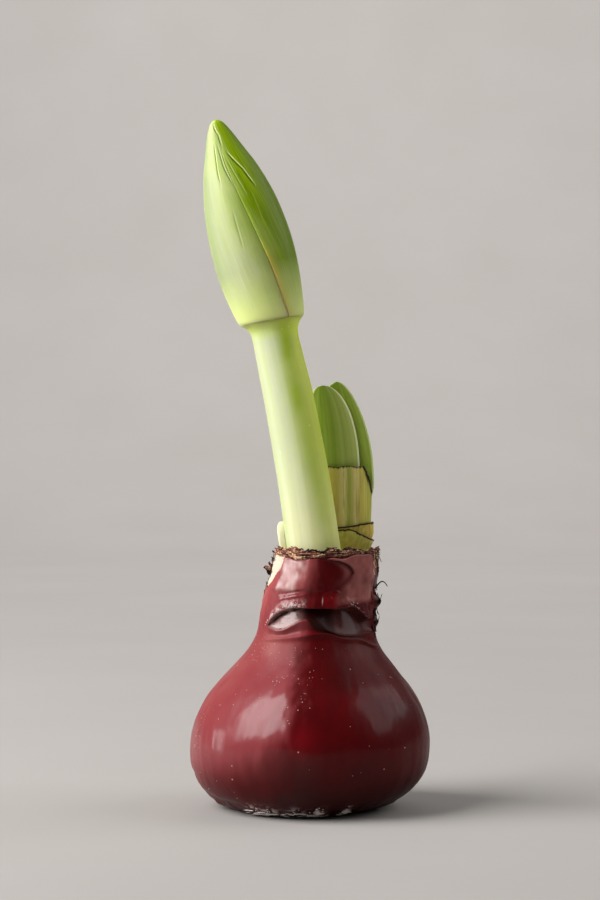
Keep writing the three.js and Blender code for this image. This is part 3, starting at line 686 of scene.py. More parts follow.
def waxCrumbs():
    # loose scraps on the lid's rim and round the base, beads in clusters, pale partly as painted glints, and
    # shreds scraped up at the base
    rng = np.random.default_rng(12)
    surfaces = []
    onLid = [(-29, None, 9, 0.6, 22), (-47, None, 5, 0.5, 16)]  # side, height or None, both spreads and count
    atBase = [(at, 3, width, 1.6, 11) for at, width in waxForm["baseFlakes"]]
    for clusters, sizes, lift, paleness in [
        (onLid, (0.1, 0.26), 0.75, 0.7), ([(44, None, 6, 0.6, 10)], (0.15, 0.3), 0.75, 0.5),
        (atBase, (0.1, 0.3), 0.3, 1), (waxForm["beads"], (0.05, 0.2), 0.03, 0.6),
    ]:
        for at, level, wide, high, count in clusters:
            side = at + wide * rng.normal(0, 0.7, count)
            base = alongOutline(waxForm["lid"], side) + 0.4 if level is None else level
            height = np.maximum(base + high * rng.normal(0, 0.7, count), 1.1)
            angle = angleOf(side)
            spot = bulbSkin(angle, height, 0, lift + bellyShape(height, angle))
            outwards = unit(bulbSkin(angle, height, 0, 1.0) - bulbSkin(angle, height))
            reach = rng.uniform(*sizes, count)
            surfaces.append(blobs(spot, outwards, reach, 13 + len(surfaces), onlyPale(paleness, count)))
    shreds = waxForm["shreds"]
    for at, width in waxForm["baseFlakes"]:
        count = shreds["count"]
        angle = angleOf(at + width * rng.normal(0, 0.8, count))
        height = rng.uniform(*shreds["heights"], count)
        spot = bulbSkin(angle, height, 0, 0.55 + bellyShape(height, angle))
        up, sideways = rng.uniform(-0.3, 0.3, (count, 1)), rng.choice([-1, 1], (count, 1))
        directions, sizes = stripDirections(angle, up, sideways), drawSizes(rng, shreds)
        surfaces.append(strips(spot, *directions, *sizes, 0.2, onlyPale(1, count)))
    return surfaces


def dippedWax():
    # paraffin wax, dipped: deep crimson under a clear gloss, so a light shows as a clean patch in a wide soft
    # haze; scraped bits turn pale, and over the old scale in the fold it is nearly black. Light and shade are
    # also painted in: a lit haze on the left, a lit flank, a glow in the belly, sheen, reflections, glints
    # and bead highlights, and shade in the hollow, under the lid and low on the belly
    material, tree, dark, pale, thin, clearRedAndGlow, waxSheen, milkyAndLit, gloss = newMaterial("dippedParaffinWax", *waxMarks)
    place = addNode(tree, "TexCoord", output="Object")
    cloud = addNode(tree, "TexNoise", {"Vector": place, "Scale": scaleFor(16), "Detail": 3})
    crowd = addNode(tree, "TexNoise", {"Vector": place, "Scale": scaleFor(22), "Detail": 2})
    # bead dots, pale partly as painted highlights on the beads' small bumps
    beads = scatteredDots(tree, place, 4, (0.09, 0.04, 0.6), 0.44, crowd)
    light = addNode(tree, "Math", {0: beads, 1: pale}, operation="MAXIMUM")
    # crimson with a random cloud, milky bloom painted lighter on the lit left, a flank painted lit, a clearer
    # red and a painted glow, painted sheen and reflections, pale flakes with painted glints, and dark old
    # scale with painted shade
    red = layered(
        tree, "#4b0206", ("#560408", cloud, 0.35, 0.65), ("#823236", milkyAndLit), ("#a85452", thin),
        ("#8c0814", clearRedAndGlow), ("#a2605b", waxSheen), ("#f6e8e2", light), ("#280b07", dark),
    )
    fine = addNode(tree, "TexNoise", {"Vector": place, "Scale": scaleFor(1.6), "Detail": 2})
    rough = addNode(tree, "MapRange", {"Value": fine, "To Min": 0.36, "To Max": 0.5})
    raised = addNode(tree, "Math", {0: beads, 1: 2.0, 2: fine}, operation="MULTIPLY_ADD")
    return finished(material, red, {
        "Roughness": rough, "IOR": 1.44, "Specular IOR Level": 0.09,
        "Coat Weight": gloss, "Coat Roughness": 0.17, "Coat IOR": 1.5,
        "Subsurface Weight": 0.1, "Subsurface Radius": (1.0, 0.25, 0.2), "Subsurface Scale": 0.002,
    }, (raised, 0.25, 0.0002))


makeWaxCoat()


# the flower stalk, a tapering oval stem that leans to the left

stalkForm = {
    "course": [
        (2.6, -8.4, 91.3), (1.4, -8.4, 100.8), (-2.65, -8.2, 128.5),
        (-7.9, -7.5, 157.3), (-11.6, -7.0, 174.1), (-15.0, -6.4, 190.1),
    ],
    "courseSteps": 1001,
    "length": 101,
    "halfWidth": [  # half width and share of the length
        (10.4, 0), (10.2, 0.3), (9.6, 0.62), (9.1, 0.82), (9.0, 0.93), (10.1, 0.975), (12.1, 1),
    ],
    "depthRatio": 0.8,
    "ribs": 9,
    "ribHeight": 0.05,
    "columns": 120,
    "rows": 220,
}

budForm = {
    "length": 79.7,
    "lean": 16.5 * deg,
    "depthRatio": 0.88,
    "footDrop": 1.3,
    "outline": [  # half width and distance along the bud
        (12.2, 0), (13.1, 1.8), (14.3, 7.8), (15.4, 15.6), (15.9, 25), (15.5, 35),
        (13.9, 47), (10.9, 58.5), (7.9, 66.3), (4.8, 74), (2.7, 78), (0.9, 79.7),
    ],
    "span": (0.08, 79.5),  # distances of the first and the last row along the bud
    "rows": 260,
    "columns": 190,
    "chordColumns": 12,
    "gap": 0.07,  # from each margin to the plane between the bracts
    "seamStart": 31,
    "seamTurn": -0.6,  # degrees round the bud for each millimetre along it
    "creases": [  # side and distance along the bud for each end or bend, then height and width
        ([(-19.5, 77.8), (-1, 73.2), (0, 68.4)], 0.22, 0.3),
        ([(-25, 69.4), (-24, 59.1), (-22.5, 54.5)], 0.2, 0.26),
        ([(-13, 69), (-8.5, 60), (-1, 53)], 0.2, 0.24),
        ([(9.5, 65), (27.5, 57.5), (36, 50.3)], 0.3, 0.28),
        ([(-11.5, 42.1), (-10.5, 28.1)], 0.12, 0.3),
        ([(24, 49), (27, 36)], 0.1, 0.3),
        ([(2, 63), (12, 52), (17, 46)], 0.12, 0.24),
    ],
}
budBase = np.array(stalkForm["course"][-1])
budAxis = np.array([-np.sin(budForm["lean"]), 0, np.cos(budForm["lean"])])
budRight = np.array([np.cos(budForm["lean"]), 0, np.sin(budForm["lean"])])
front = np.array([0, -1, 0])


def footDrop(right):  # the bud's foot is cut less steeply than its axis leans
    return budForm["footDrop"] * (1 + right)


def stalkRing(share, angle, swell):
    # oval section round the course: half the width to the leaning right, half the depth to front and back
    course = curveThrough(stalkForm["course"], stalkForm["courseSteps"], True)
    spots = np.linspace(0, 1, stalkForm["courseSteps"])
    middle = np.stack([np.interp(share, spots, course[:, i]) for i in range(3)], -1)
    slope = np.gradient(course, axis=0)
    x, z = (np.interp(share, spots, slope[:, i]) for i in (0, 2))
    axis = unit(np.stack([x, 0 * share, z], -1))
    axis = unit(mix(axis, budAxis, smooth(share, 0.9, 1)[..., None]))
    right = np.stack([axis[..., 2], 0 * share, -axis[..., 0]], -1)
    half = alongOutline(stalkForm["halfWidth"], share) + swell
    depth = mix(stalkForm["depthRatio"], budForm["depthRatio"], smooth(share, 0.75, 1))
    x, y = half * np.cos(angle), (half * depth + swell * (1 - depth)) * np.sin(angle)
    drop = footDrop(np.cos(angle)) * smooth(share, 0.8, 1)
    return middle - axis * drop[..., None] + right * x[..., None] - front * y[..., None]


def makeStalk():
    # marks: the place on an upright stalk, how far it is turned to the lit side that is painted pale, a green
    # band partly painted as shade, and the left edge painted as shade
    angle, share = np.meshgrid(allRound(stalkForm["columns"]), np.linspace(0, 1, stalkForm["rows"]))
    length = share * stalkForm["length"]
    right, back = 10 * np.cos(angle), 10 * np.sin(angle)
    swell = np.cos(stalkForm["ribs"] * angle + 1.5)
    swell = swell + grain(np.stack([right, back, length], -1), (4, 4, 30), 11)
    side = sideOf(angle)
    greenAndShadeBand = bell(side, 24 + 6 * np.sin(length / 14), 21) + 0.6 * bell(side, 80, 28)
    marks = {
        "right": right / 1000, "back": back / 1000, "along": length / 1000,
        "turned": 0.5 + 0.5 * np.cos(angle + 150 * deg),
        "greenAndShadeBand": greenAndShadeBand * mix(0.15, 1, smooth(length, 2, 55)) + 0.8 * bell(side, -150, 40),
        "edge": 0.85 * bell(side, -85, 36),
    }
    surface = gridSurface(stalkRing(share, angle, stalkForm["ribHeight"] * swell), marks)
    makePiece("flowerStalk", [surface], stalkSkin(), "flower_stalk")


def stalkSkin():
    # living stalk tissue, grown: smooth with a thin wax bloom, cream at the foot, painted cream on the lit
    # side and darker at its edge, yellow-green on the other side with a green band partly painted as shade,
    # and fresh green under the bud painted lighter against the bud's shade, with light that goes a little way
    # in
    material, tree, right, back, along, turned, greenAndShadeBand, edge = newMaterial(
        "flowerStalkSkin", "right", "back", "along", "turned", "greenAndShadeBand", "edge"
    )
    spot = addNode(tree, "CombineXYZ", {"X": right, "Y": back, "Z": along})
    stretched = addNode(tree, "Mapping", {"Vector": spot, "Scale": (1, 1, 0.04)})
    streaks = addNode(tree, "TexNoise", {"Vector": stretched, "Scale": scaleFor(2.2), "Detail": 3})
    cloud = addNode(tree, "TexNoise", {"Vector": spot, "Scale": scaleFor(18), "Detail": 2})
    side = addNode(tree, "Math", {0: cloud, 1: 0.5, 2: turned}, operation="MULTIPLY_ADD")
    patchy = {"Value": cloud, "From Min": 0.3, "From Max": 0.6, "To Min": 0.25, "To Max": 0.9}
    strong = addNode(tree, "Math", {0: greenAndShadeBand, 1: addNode(tree, "MapRange", patchy)}, operation="MULTIPLY")
    specks = scatteredDots(tree, spot, 3.4, (0.1, 0.05), 0.75)
    # painted light and shade: cream on the lit side, darker at the left edge, the band, and the top under the
    # bud lightened
    green = layered(
        tree, "#d6e264", ("#d8deba", side, 0.6, 1.05), ("#f2efc0", along, 0.05, 0.005), ("#b4bc90", edge),
        ("#b0c454", streaks, 0.45, 0.7, 0.2), ("#b0c832", strong), ("#daf060", along, 0.09, 0.1, 0.8),
        ("#eef2c6", specks),
    )
    return finished(material, green, {
        "Roughness": 0.42, "IOR": 1.4, "Specular IOR Level": 0.25,
        "Subsurface Weight": 0.85, "Subsurface Radius": (1.0, 0.95, 0.35), "Subsurface Scale": 0.007,
    }, (streaks, 0.12, 0.0002))


makeStalk()


# the bud: two bracts that meet along a seam, each solid to the bud's middle; its angles start at its front

def budPoint(angle, along, lift):
    # half width to the right by the angle's sine and to the front by its cosine, a little bowed to the right
    half = alongOutline(budForm["outline"], along) + lift
    share = along / budForm["length"]
    up = along - footDrop(np.sin(angle)) * fade(along, 0, 20)
    across = half * np.sin(angle) + 0.6 * np.sin(np.pi * share) + 0.9 * share**3
    out = half * budForm["depthRatio"] * np.cos(angle)
    return budBase + budAxis * up[..., None] + budRight * across[..., None] + front * out[..., None]


def creaseRelief(angle, along):  # each crease a narrow ridge with a groove on its left, fading at both ends
    half = alongOutline(budForm["outline"], along)
    total = 0
    for path, height, width in budForm["creases"]:
        sides, alongs = np.array(sorted(path, key=lambda point: point[1])).T
        away = ((angle / deg - np.interp(along, alongs, sides) + 180) % 360 - 180) * deg * half
        first, last = alongs[0], alongs[-1]
        shown = height * smooth(along, first - 3, first + 3) * fade(along, last - 3, last + 3)
        total = total + shown * (bell(away, 0, width) - 0.9 * bell(away, -1.9 * width, 1.2 * width))
    return total


def makeBract(name, node, turn, material):
    # from the seam half round the bud and back along the chord; its first margin lies over the other's last
    share = np.linspace(0, 1, budForm["columns"])
    share, along = np.meshgrid(share, np.linspace(*budForm["span"], budForm["rows"]))
    start = (budForm["seamStart"] + budForm["seamTurn"] * along) * deg + turn
    edge = np.arcsin(np.clip(budForm["gap"] / alongOutline(budForm["outline"], along), 0, 1))
    turned = share * (np.pi - 2 * edge)
    angle = start + edge + turned
    margin = 0.28 * fade(share, 0, 0.14) - 0.35 * smooth(share, 0.84, 1)
    margin = margin * mix(1, 0.45, smooth(along, 34, 50))
    spread = np.stack([26 * np.cos(angle), 26 * np.sin(angle), along], -1)
    veins = 0.022 * grain(spread, (0.8, 0.8, 26), 51, 2) * smooth(along, 2, 12)
    dents = 0.14 * grain(spread, (9, 9, 24), 52)
    crease = creaseRelief(angle, along)
    outer = budPoint(angle, along, (margin + dents) * np.minimum(along / 6, 1) + veins + crease)
    back = np.linspace(0, 1, budForm["chordColumns"] + 2)[1:-1][None, :, None]
    chord = mix(outer[:, -1:], outer[:, :1], back)
    flat = np.zeros(chord.shape[:2])
    seam = (0.45 * bell(14 * turned, 0, 0.3) + 0.35 * bell(14 * turned, 0, 2.6)) * fade(along, 16, 34)
    marks = {
        "around": np.concatenate([share, 1 - back[..., 0] + flat], 1),
        "along": np.concatenate([along, along[:, :1] + flat], 1) / 1000,
        "crease": np.concatenate([crease, flat], 1),
        "turned": np.cos(np.concatenate([angle, angle[:, :1] + flat], 1) - 75 * deg),
        "seam": np.concatenate([seam, flat], 1),
    }
    makePiece(name, [gridSurface(np.concatenate([outer, chord], 1), marks)], material, node)


def bractSkin():
    # living bract tissue, grown: satin with fine lengthwise veins, pale green on the lit side and deep green
    # on the other, both painted light and shade, greener towards the tip, with painted shade at the left
    # edge, painted light at the foot, painted highlights on the creases and painted shade in their grooves,
    # ripening to orange-brown along the seam
    material, tree, around, along, crease, turned, seam = newMaterial(
        "budBractSkin", "around", "along", "crease", "turned", "seam"
    )
    veins = tissueNoise(tree, around, along, (75, 45), 3)
    place = addNode(tree, "TexCoord", output="Object")
    cloud = addNode(tree, "TexNoise", {"Vector": place, "Scale": scaleFor(14), "Detail": 2})
    side = addNode(tree, "Math", {0: cloud, 1: 0.7, 2: turned}, operation="MULTIPLY_ADD")
    higher = addNode(tree, "Math", {0: along, 1: 9.0, 2: side}, operation="MULTIPLY_ADD")
    deep = layered(tree, "#98b20c", ("#769400", veins, 0.35, 0.65))
    ripe = addNode(tree, "ValToRGB", {"Fac": seam}, stops=[(0.35, "#d4bc44"), (0.75, "#a8743c")])
    # painted light and shade: pale on the lit side, deep on the shaded side, the left edge, the foot and the
    # creases
    skin = layered(
        tree, "#cdd2b2", ("#c0c898", veins, 0.35, 0.65), ("#9aa872", turned, -0.2, -0.8, 0.9),
        ("#c0cc8a", higher, 0.1, 0.7), (deep, higher, 0.6, 1.4), ("#5e7804", turned, 0.8, 1.0, 0.7),
        ("#e4f09a", along, 0.02, 0.002, 0.9), (ripe, seam), ("#e9f0a4", crease, 0.05, 0.2, 0.8),
        ("#4a6a06", crease, -0.03, -0.2),
    )
    return finished(material, skin, {
        "Roughness": 0.4, "IOR": 1.4, "Specular IOR Level": 0.18,
        "Subsurface Weight": 0.8, "Subsurface Radius": (0.9, 1.0, 0.3), "Subsurface Scale": 0.005,
    }, (veins, 0.2, 0.0002))


bractGreen = bractSkin()
makeBract("bractRight", "bract_right", 0, bractGreen)
makeBract("bractLeft", "bract_left", np.pi, bractGreen)


# leaves: level sections bent to a shallow trough, ending in a rounded tip

# each leaf's tones, and the strength of its painted sheen towards the right
leafForms = {
    "front": {
        "tip": 164.3, "halves": (8.5, 10.3), "spread": (100, 124), "tipLength": 30, "tipPower": 0.4,
        "bend": 2.2, "tones": ("#8cac20", "#b8cc64", "#f0f6c0"), "leafSheen": 0.5, "seed": 61,
    },
    "back": {
        "tip": 166, "halves": (8.6, 13.4), "spread": (100, 126), "tipLength": 40, "tipPower": 0.58,
        "bend": -2.0, "tones": ("#96b224", "#aec850", "#e2ebb0"), "leafSheen": 0.1, "seed": 62,
    },
    "thickness": 2.2,
    "foot": 91.3,
    "columns": 64,
}


def leafMiddle(which, height):
    if which == "front":
        below = np.exp((height - leafForms["front"]["tip"]) / 15)
        return 5.2 + 4.6 * (1 - below), 4.9 + 0.5 * smooth(height, 110, 150)
    x = 9 + 2.8 * smooth(height, 100, 126) - 1.1 * smooth(height, 135, 166)
    return x, 10.4 - 0.6 * smooth(height, 118, 160)


def makeLeaf(which, name, node):
    # rows crowd towards the tip, where the half width follows a power of a circle's arc
    form = leafForms[which]
    spots = (form["tip"] - leafForms["foot"] - 2) * (1 - np.linspace(0, 1, 100, endpoint=False) ** 0.7) + 2
    down = np.concatenate([spots, np.geomspace(2, 0.05, 26)])
    columns = leafForms["columns"]
    across = np.concatenate([np.linspace(-1, 1, columns), np.linspace(1, -1, columns)])
    face = np.repeat([-1, 1], columns)
    share, drop = np.meshgrid(across, down)
    height = form["tip"] - drop
    rounded = (1 - (1 - np.clip(drop / form["tipLength"], 0, 1)) ** 2) ** form["tipPower"]
    half = mix(*form["halves"], smooth(height, *form["spread"])) * rounded
    body = leafForms["thickness"] * mix(0.35, 1, smooth(drop, 0, 16)) * np.sqrt(1 - 0.94 * share**4)
    spot = np.stack([half * share, 9 * face + 0 * share, height], -1)
    veins = 0.03 * grain(spot, (0.9, 3, 40), form["seed"], 2) + 0.02 * np.cos(share * 60)
    veins = veins * smooth(drop, 0, 8) * (1 - share**4)
    x, y = leafMiddle(which, height)
    curl = form["bend"] * (half / 12) ** 2 * share**2
    points = np.stack([x + half * share, y + curl + face * (body / 2 + veins), height], -1)
    marks = {"share": share, "along": drop / 1000, "margin": half * (1 - np.abs(share)) / 1000}
    skin = leafSkin(name + "Skin", form["tones"], form["leafSheen"])
    makePiece(name, [gridSurface(points, marks)], skin, node)


def leafSkin(name, tones, leafSheen):
    # young leaf tissue, grown: satin green with parallel veins in lighter and darker bands, a thin pale rim
    # and a painted sheen towards the right
    material, tree, share, along, margin = newMaterial(name, "share", "along", "margin")
    veins = tissueNoise(tree, share, along, (22, 18), 2)
    bands = tissueNoise(tree, share, along, (22, 18), 1, 0.2)
    both = addNode(tree, "Math", {0: veins, 1: 0.35, 2: bands}, operation="MULTIPLY_ADD")
    dark, light, rim = tones
    skin = layered(
        tree, dark, (light, both, 0.5, 0.85), ("#ced884", share, -0.1, 0.6, leafSheen),
        (rim, margin, 0.0009, 0.0005),
    )
    return finished(material, skin, {
        "Roughness": 0.42, "IOR": 1.4,
        "Subsurface Weight": 0.4, "Subsurface Radius": (0.5, 0.8, 0.15), "Subsurface Scale": 0.0015,
    }, (veins, 0.25, 0.0002))


makeLeaf("front", "leafFront", "leaf_front")
makeLeaf("back", "leafBack", "leaf_back")


# the cut top of the flesh, seen between the shoots and the rim

fleshForm = {
    "heights": (0.4, 2.5, 7, 14, 24, 33, 41, 48, 54, 60, 66, 72, 79, 82, 85),
    "coreHeights": (85.2, 90, 95.4),
    "cutHeight": 96,
    "columns": 180,
    "topRows": 90,
    "inset": 2.4,
    "rings": [(0.9, 0.85), (0.68, 0.75), (0.46, 0.75), (0.22, 0.6)],  # share of the radius, and height
    "holes": [(2.0, -8.4, 11.0, 8.9), (9.0, 7.6, 14.4, 8.2)],  # middle and half widths, for stalk and shoot
    "holeDepth": 5.2,
}


def makeFlesh():
    # under the cut, the wax's inside less a gap; on top a disc with the rings' bells as height and two holes
    angle = allRound(fleshForm["columns"])[None]
    heights = np.array(fleshForm["heights"])[:, None]
    body = bulbSkin(angle, heights, waxThickness(heights) + bulbForm["gap"])
    core = bulbSkin(angle, np.array(fleshForm["coreHeights"])[:, None], fleshForm["inset"])
    edge = bulbSkin(angle, fleshForm["cutHeight"], fleshForm["inset"] + 0.3)
    share = np.linspace(1, 0.02, fleshForm["topRows"])[:, None]
    centre = np.array([middleAt(fleshForm["cutHeight"]), 0, fleshForm["cutHeight"]])
    top = mix(centre, edge, share[..., None])
    lift = sum(height * bell(share, place, 0.045) for place, height in fleshForm["rings"])
    lift = lift + 0.25 * grain(top, 1.6, 21, 2)
    right, back = top[..., 0], top[..., 1]
    away = [np.hypot((right - x) / wide, (back - y) / deep) for x, y, wide, deep in fleshForm["holes"]]
    top[..., 2] += mix(lift, -fleshForm["holeDepth"], smooth(np.minimum(*away), 1.02, 0.98))
    ring = np.concatenate([np.ones((len(body) + len(core), 1)), share]) + 0 * angle
    surface = gridSurface(np.concatenate([body, core, top]), {"ring": ring})
    makePiece("bulbFlesh", [surface], cutFlesh(), "bulb")


def cutFlesh():
    # bulb flesh, cut level and dried a little: matt straw, browner along the rings of its scales
    material, tree, ring = newMaterial("cutBulbFlesh", "ring")
    place = addNode(tree, "TexCoord", output="Object")
    mottle = addNode(tree, "TexNoise", {"Vector": place, "Scale": scaleFor(3), "Detail": 4})
    outwards = addNode(tree, "CombineXYZ", {"X": ring})
    bands = addNode(tree, "TexWave", {"Vector": outwards, "Scale": 1.4, "Distortion": 0.6})
    flesh = layered(tree, "#a88c56", ("#d8c896", bands), ("#7a5a34", mottle, 0.4, 0.7))
    return finished(material, flesh, {"Roughness": 0.75, "IOR": 1.4}, (mottle, 0.5, 0.0004))


makeFlesh()


# the dry outer scale: a papery band torn off above the wax, with crumbs, torn flakes and curls on the left

dryScaleForm = {
    "wall": 0.8,
    "bare": 0.4,
    "hidden": 1.3,
    "columns": 460,
    "rows": 26,
    "seed": 7,
    "crumbs": {
        "count": 430, "lengths": (0.9, 2.8), "widths": (0.2, 0.5), "curls": (0.0, 0.25), "tones": (0, 0.9),
    },
    "tornFlakes": [
        {"count": 34, "sides": (76, 98), "heights": (66, 98), "lengths": (1.6, 4.2), "widths": (0.5, 1.3),
         "curls": (0.05, 0.3), "tones": (-0.4, 0.05)},
        {"count": 12, "sides": (70, 92), "heights": (93, 99), "lengths": (1.5, 3.4), "widths": (0.5, 1.0),
         "curls": (0.05, 0.3), "tones": (0.7, 1.0)},
        {"count": 30, "sides": (-94, -68), "heights": (84, 98), "lengths": (0.9, 2.6), "widths": (0.3, 0.8),
         "curls": (0.05, 0.3), "tones": (-0.3, 0.6)},
    ],
    "curls": [  # angle round the bulb, height, how far outwards and up, length, width, curl and tone
        (187, 91.6, 0.8, 0.75, 4.6, 1.7, 0.35, 0.72), (187.5, 91.4, 0.8, 0.7, 5.0, 2.5, 0.2, -0.25),
        (190, 93.4, 0.75, 0.95, 3.8, 1.4, 0.5, 0.45), (188, 96.0, 0.5, 0.9, 2.4, 0.8, 0.2, -0.3),
        (184, 98.6, 0.6, 0.6, 2.4, 0.9, 0.3, 0.0),
    ],
}


def dryScaleEdge(angle):
    torn = 0.45 * np.sin(5 * angle + 1) + 0.35 * np.sin(11 * angle) + 0.25 * np.sin(17 * angle + 2)
    return bulbForm["neckHeight"] + 0.3 - 0.9 * bell(sideOf(angle), 85, 35) + torn


def dryBand():
    # up the outside from its hidden foot to the torn edge and down again, crumbling in layers above the wax
    hidden, bare, wall = (dryScaleForm[key] for key in ("hidden", "bare", "wall"))
    angle = allRound(dryScaleForm["columns"])[None]
    top = dryScaleEdge(angle)
    top = top + 0.5 * grain(bulbSkin(angle, top), (1.1, 1.1, 9), 31, 2)
    foot = bulbForm["seatHeight"] + bulbForm["gap"] + 0 * angle
    under, over = waxEdge(angle) + 0.2, waxEdge(angle) + 1
    share = np.linspace(0, 1, dryScaleForm["rows"])[:, None]
    up, down = mix(over, top, share), mix(top - 0.3, over, share[::3])
    height = np.concatenate([foot, under, up, down, under, foot])
    inset = np.repeat([hidden, bare, bare + wall, hidden + wall], [2, len(up), len(down), 2])[:, None]
    rest = bulbSkin(angle, height, inset)
    shown = smooth(height, waxEdge(angle) + 0.8, waxEdge(angle) + 1.6)
    side = sideOf(angle)
    smoothLeft = bell(side, -72, 26) * fade(height, 97.5, 99.5)
    layers = 0.16 * np.sin(9 * (height + 0.6 * grain(rest, (3, 3, 3), 34))) * (1 - smoothLeft)
    crumble = (0.4 * grain(rest, (2.4, 2.4, 0.5), 32, 3) + layers) * shown * (1 - 0.85 * smoothLeft)
    # the tone: random crumble, lighter to the left and darker in front, with a painted shadow along the top
    # edge in front, under the stalk
    tone = 0.56 + 0.42 * grain(rest, (2.6, 2.6, 0.45), 33, 2) + 0.1 * bell(side, -40, 25)
    tone = tone - 0.14 * bell(side, 15, 22) - 0.9 * smooth(height, top - 1.3, top - 0.6) * bell(side, 3, 34)
    marks = {"tone": tone, "bare": smoothLeft + 0 * height}
    return gridSurface(bulbSkin(angle, height, inset, crumble), marks, rowsClose=True)


def rimCrumbs(rng):
    form = dryScaleForm["crumbs"]
    count = form["count"]
    angle = rng.uniform(0, 2 * np.pi, count)
    level = np.maximum(dryScaleEdge(angle) - rng.uniform(0, 3.4, count), waxEdge(angle) + 0.5)
    sideways = rng.choice([-1, 1], (count, 1)) * rng.uniform(1, 2.2, (count, 1))
    directions = stripDirections(angle, rng.uniform(-0.3, 0.5, (count, 1)), sideways)
    sizes = drawSizes(rng, form)
    marks = {"tone": rng.uniform(*form["tones"], count), "bare": np.zeros(count)}
    return strips(bulbSkin(angle, level, dryScaleForm["bare"] - 0.05), *directions, *sizes, 0.22, marks)


def tornFlakes(rng, group):
    count = group["count"]
    angle = angleOf(rng.uniform(*group["sides"], count))
    level = rng.uniform(*group["heights"], count)
    directions = stripDirections(angle, rng.choice([-1, 1], (count, 1)), rng.uniform(-0.4, 0.4, (count, 1)))
    sizes = drawSizes(rng, group)
    marks = {"tone": rng.uniform(*group["tones"], count), "bare": np.zeros(count)}
    root = bulbSkin(angle, level, 0.15, neckShape(level, sideOf(angle)))
    return strips(root, *directions, *sizes, 0.25, marks)


def leftCurls():
    angle, height, out, up, length, width, bend, tone = np.array(dryScaleForm["curls"]).T
    angle = angle * deg
    along = unit(outwardsAt(angle) * out[:, None] + np.array([0, 0, 1]) * up[:, None])
    facing = unit(np.cross(along, np.cross([0.25, -1.0, 0.1], along)))
    marks = {"tone": tone, "bare": 0 * tone}
    return strips(bulbSkin(angle, height, 0.3), along, facing, length, width, bend, 0.3, marks)


def makeDryScale():
    rng = np.random.default_rng(dryScaleForm["seed"])
    surfaces = [dryBand(), rimCrumbs(rng), *(tornFlakes(rng, group) for group in dryScaleForm["tornFlakes"])]
    makePiece("dryScale", [*surfaces, leftCurls()], driedScaleSkin(), "dry_scale")


def driedScaleSkin():
    # papery outer scale, dried and torn: matt, crumbly, from pale fibre through red-brown to almost black
    material, tree, tone, bare = newMaterial("driedScaleSkin", "tone", "bare")
    place = addNode(tree, "TexCoord", output="Object")
    crumble = addNode(tree, "TexNoise", {"Vector": place, "Scale": scaleFor(0.8), "Detail": 4})
    part = addNode(tree, "Math", {0: tone, 1: 0.5}, operation="MULTIPLY")
    both = addNode(tree, "Math", {0: crumble, 1: 0.7, 2: part}, operation="MULTIPLY_ADD")
    dry = addNode(tree, "ValToRGB", {"Fac": both}, stops=[
        (0.34, "#120a08"), (0.84, "#f0dcb4"), (0.48, "#452119"), (0.6, "#7c4636"), (0.72, "#c08c6c"),
    ])
    skin = layered(tree, dry, ("#d8c4ae", bare, 0.35, 0.6))
    return finished(material, skin, {"Roughness": 0.8, "IOR": 1.4}, (crumble, 0.8, 0.0005))


makeDryScale()


# the shoot: a cut sheath round the leaves and two fleshy scales round its foot

shootForm = {
    "centre": (9.0, 7.6),
    "size": (11.6, 5.4),
    "scaleWall": 0.8,
    "columns": 300,
    "rows": 72,
    "slivers": {"count": 26, "lengths": (0.8, 2.2), "widths": (0.3, 0.7), "curls": (0.0, 0.4)},
}
fleshyLight = {  # light goes a little way into the sheath and the scales
    "Roughness": 0.5, "IOR": 1.4,
    "Subsurface Weight": 0.2, "Subsurface Radius": (1.0, 0.8, 0.3), "Subsurface Scale": 0.001,
}


def shootPoint(angle, height, layer, lift=0.0):
    # an oval that swells to +X above the neck's rim; each layer is one wall and one gap further out
    grown = layer * (shootForm["scaleWall"] + bulbForm["gap"]) + lift
    flare = 1.7 * smooth(height, 97, 107)
    (x, y), (width, depth) = shootForm["centre"], shootForm["size"]
    right = x + flare + (width + grown + flare) * np.cos(angle)
    back = y + (depth + grown) * np.sin(angle)
    return np.stack(np.broadcast_arrays(right, back, height), -1)


def sheathEdge(angle):
    # level across the front, sloping to a split at the right, lower at the back
    side = sideOf(angle)
    slope = np.clip((side - 52) / 36, 0, 1)
    split = smooth(side, 86, 94) * fade(side, 128, 142)
    back = smooth(np.abs(side), 110, 150)
    return 132.6 - 10 * slope * (1 - back) - 9.5 * split - 8 * back + 0.15 * np.sin(9 * angle)


def innerScaleEdge(angle):
    return 108.6 + 2.1 * np.cos(angle) + 0.1 * np.sin(7 * angle)


def outerScaleEdge(angle):
    return np.minimum(108, 110.3 - 6.7 * np.cos(angle)) + 0.12 * np.sin(6 * angle + 2)


def tornSlivers():
    # dark dry slivers along the sheath's sloping edge, most of them at its upper corner
    rng = np.random.default_rng(19)
    count = shootForm["slivers"]["count"]
    angle = angleOf(50 + 36 * rng.uniform(0, 1, count) ** 1.6)
    height = sheathEdge(angle) - rng.uniform(0.0, 1.0, count)
    directions = stripDirections(angle, np.full((count, 1), -1), rng.uniform(0, 0.8, (count, 1)))
    sizes = drawSizes(rng, shootForm["slivers"])
    marks = {"below": np.full(count, -0.003), "side": np.full(count, 0.7)}
    return strips(shootPoint(angle, height, 0, 0.1), *directions, *sizes, 0.25, marks)


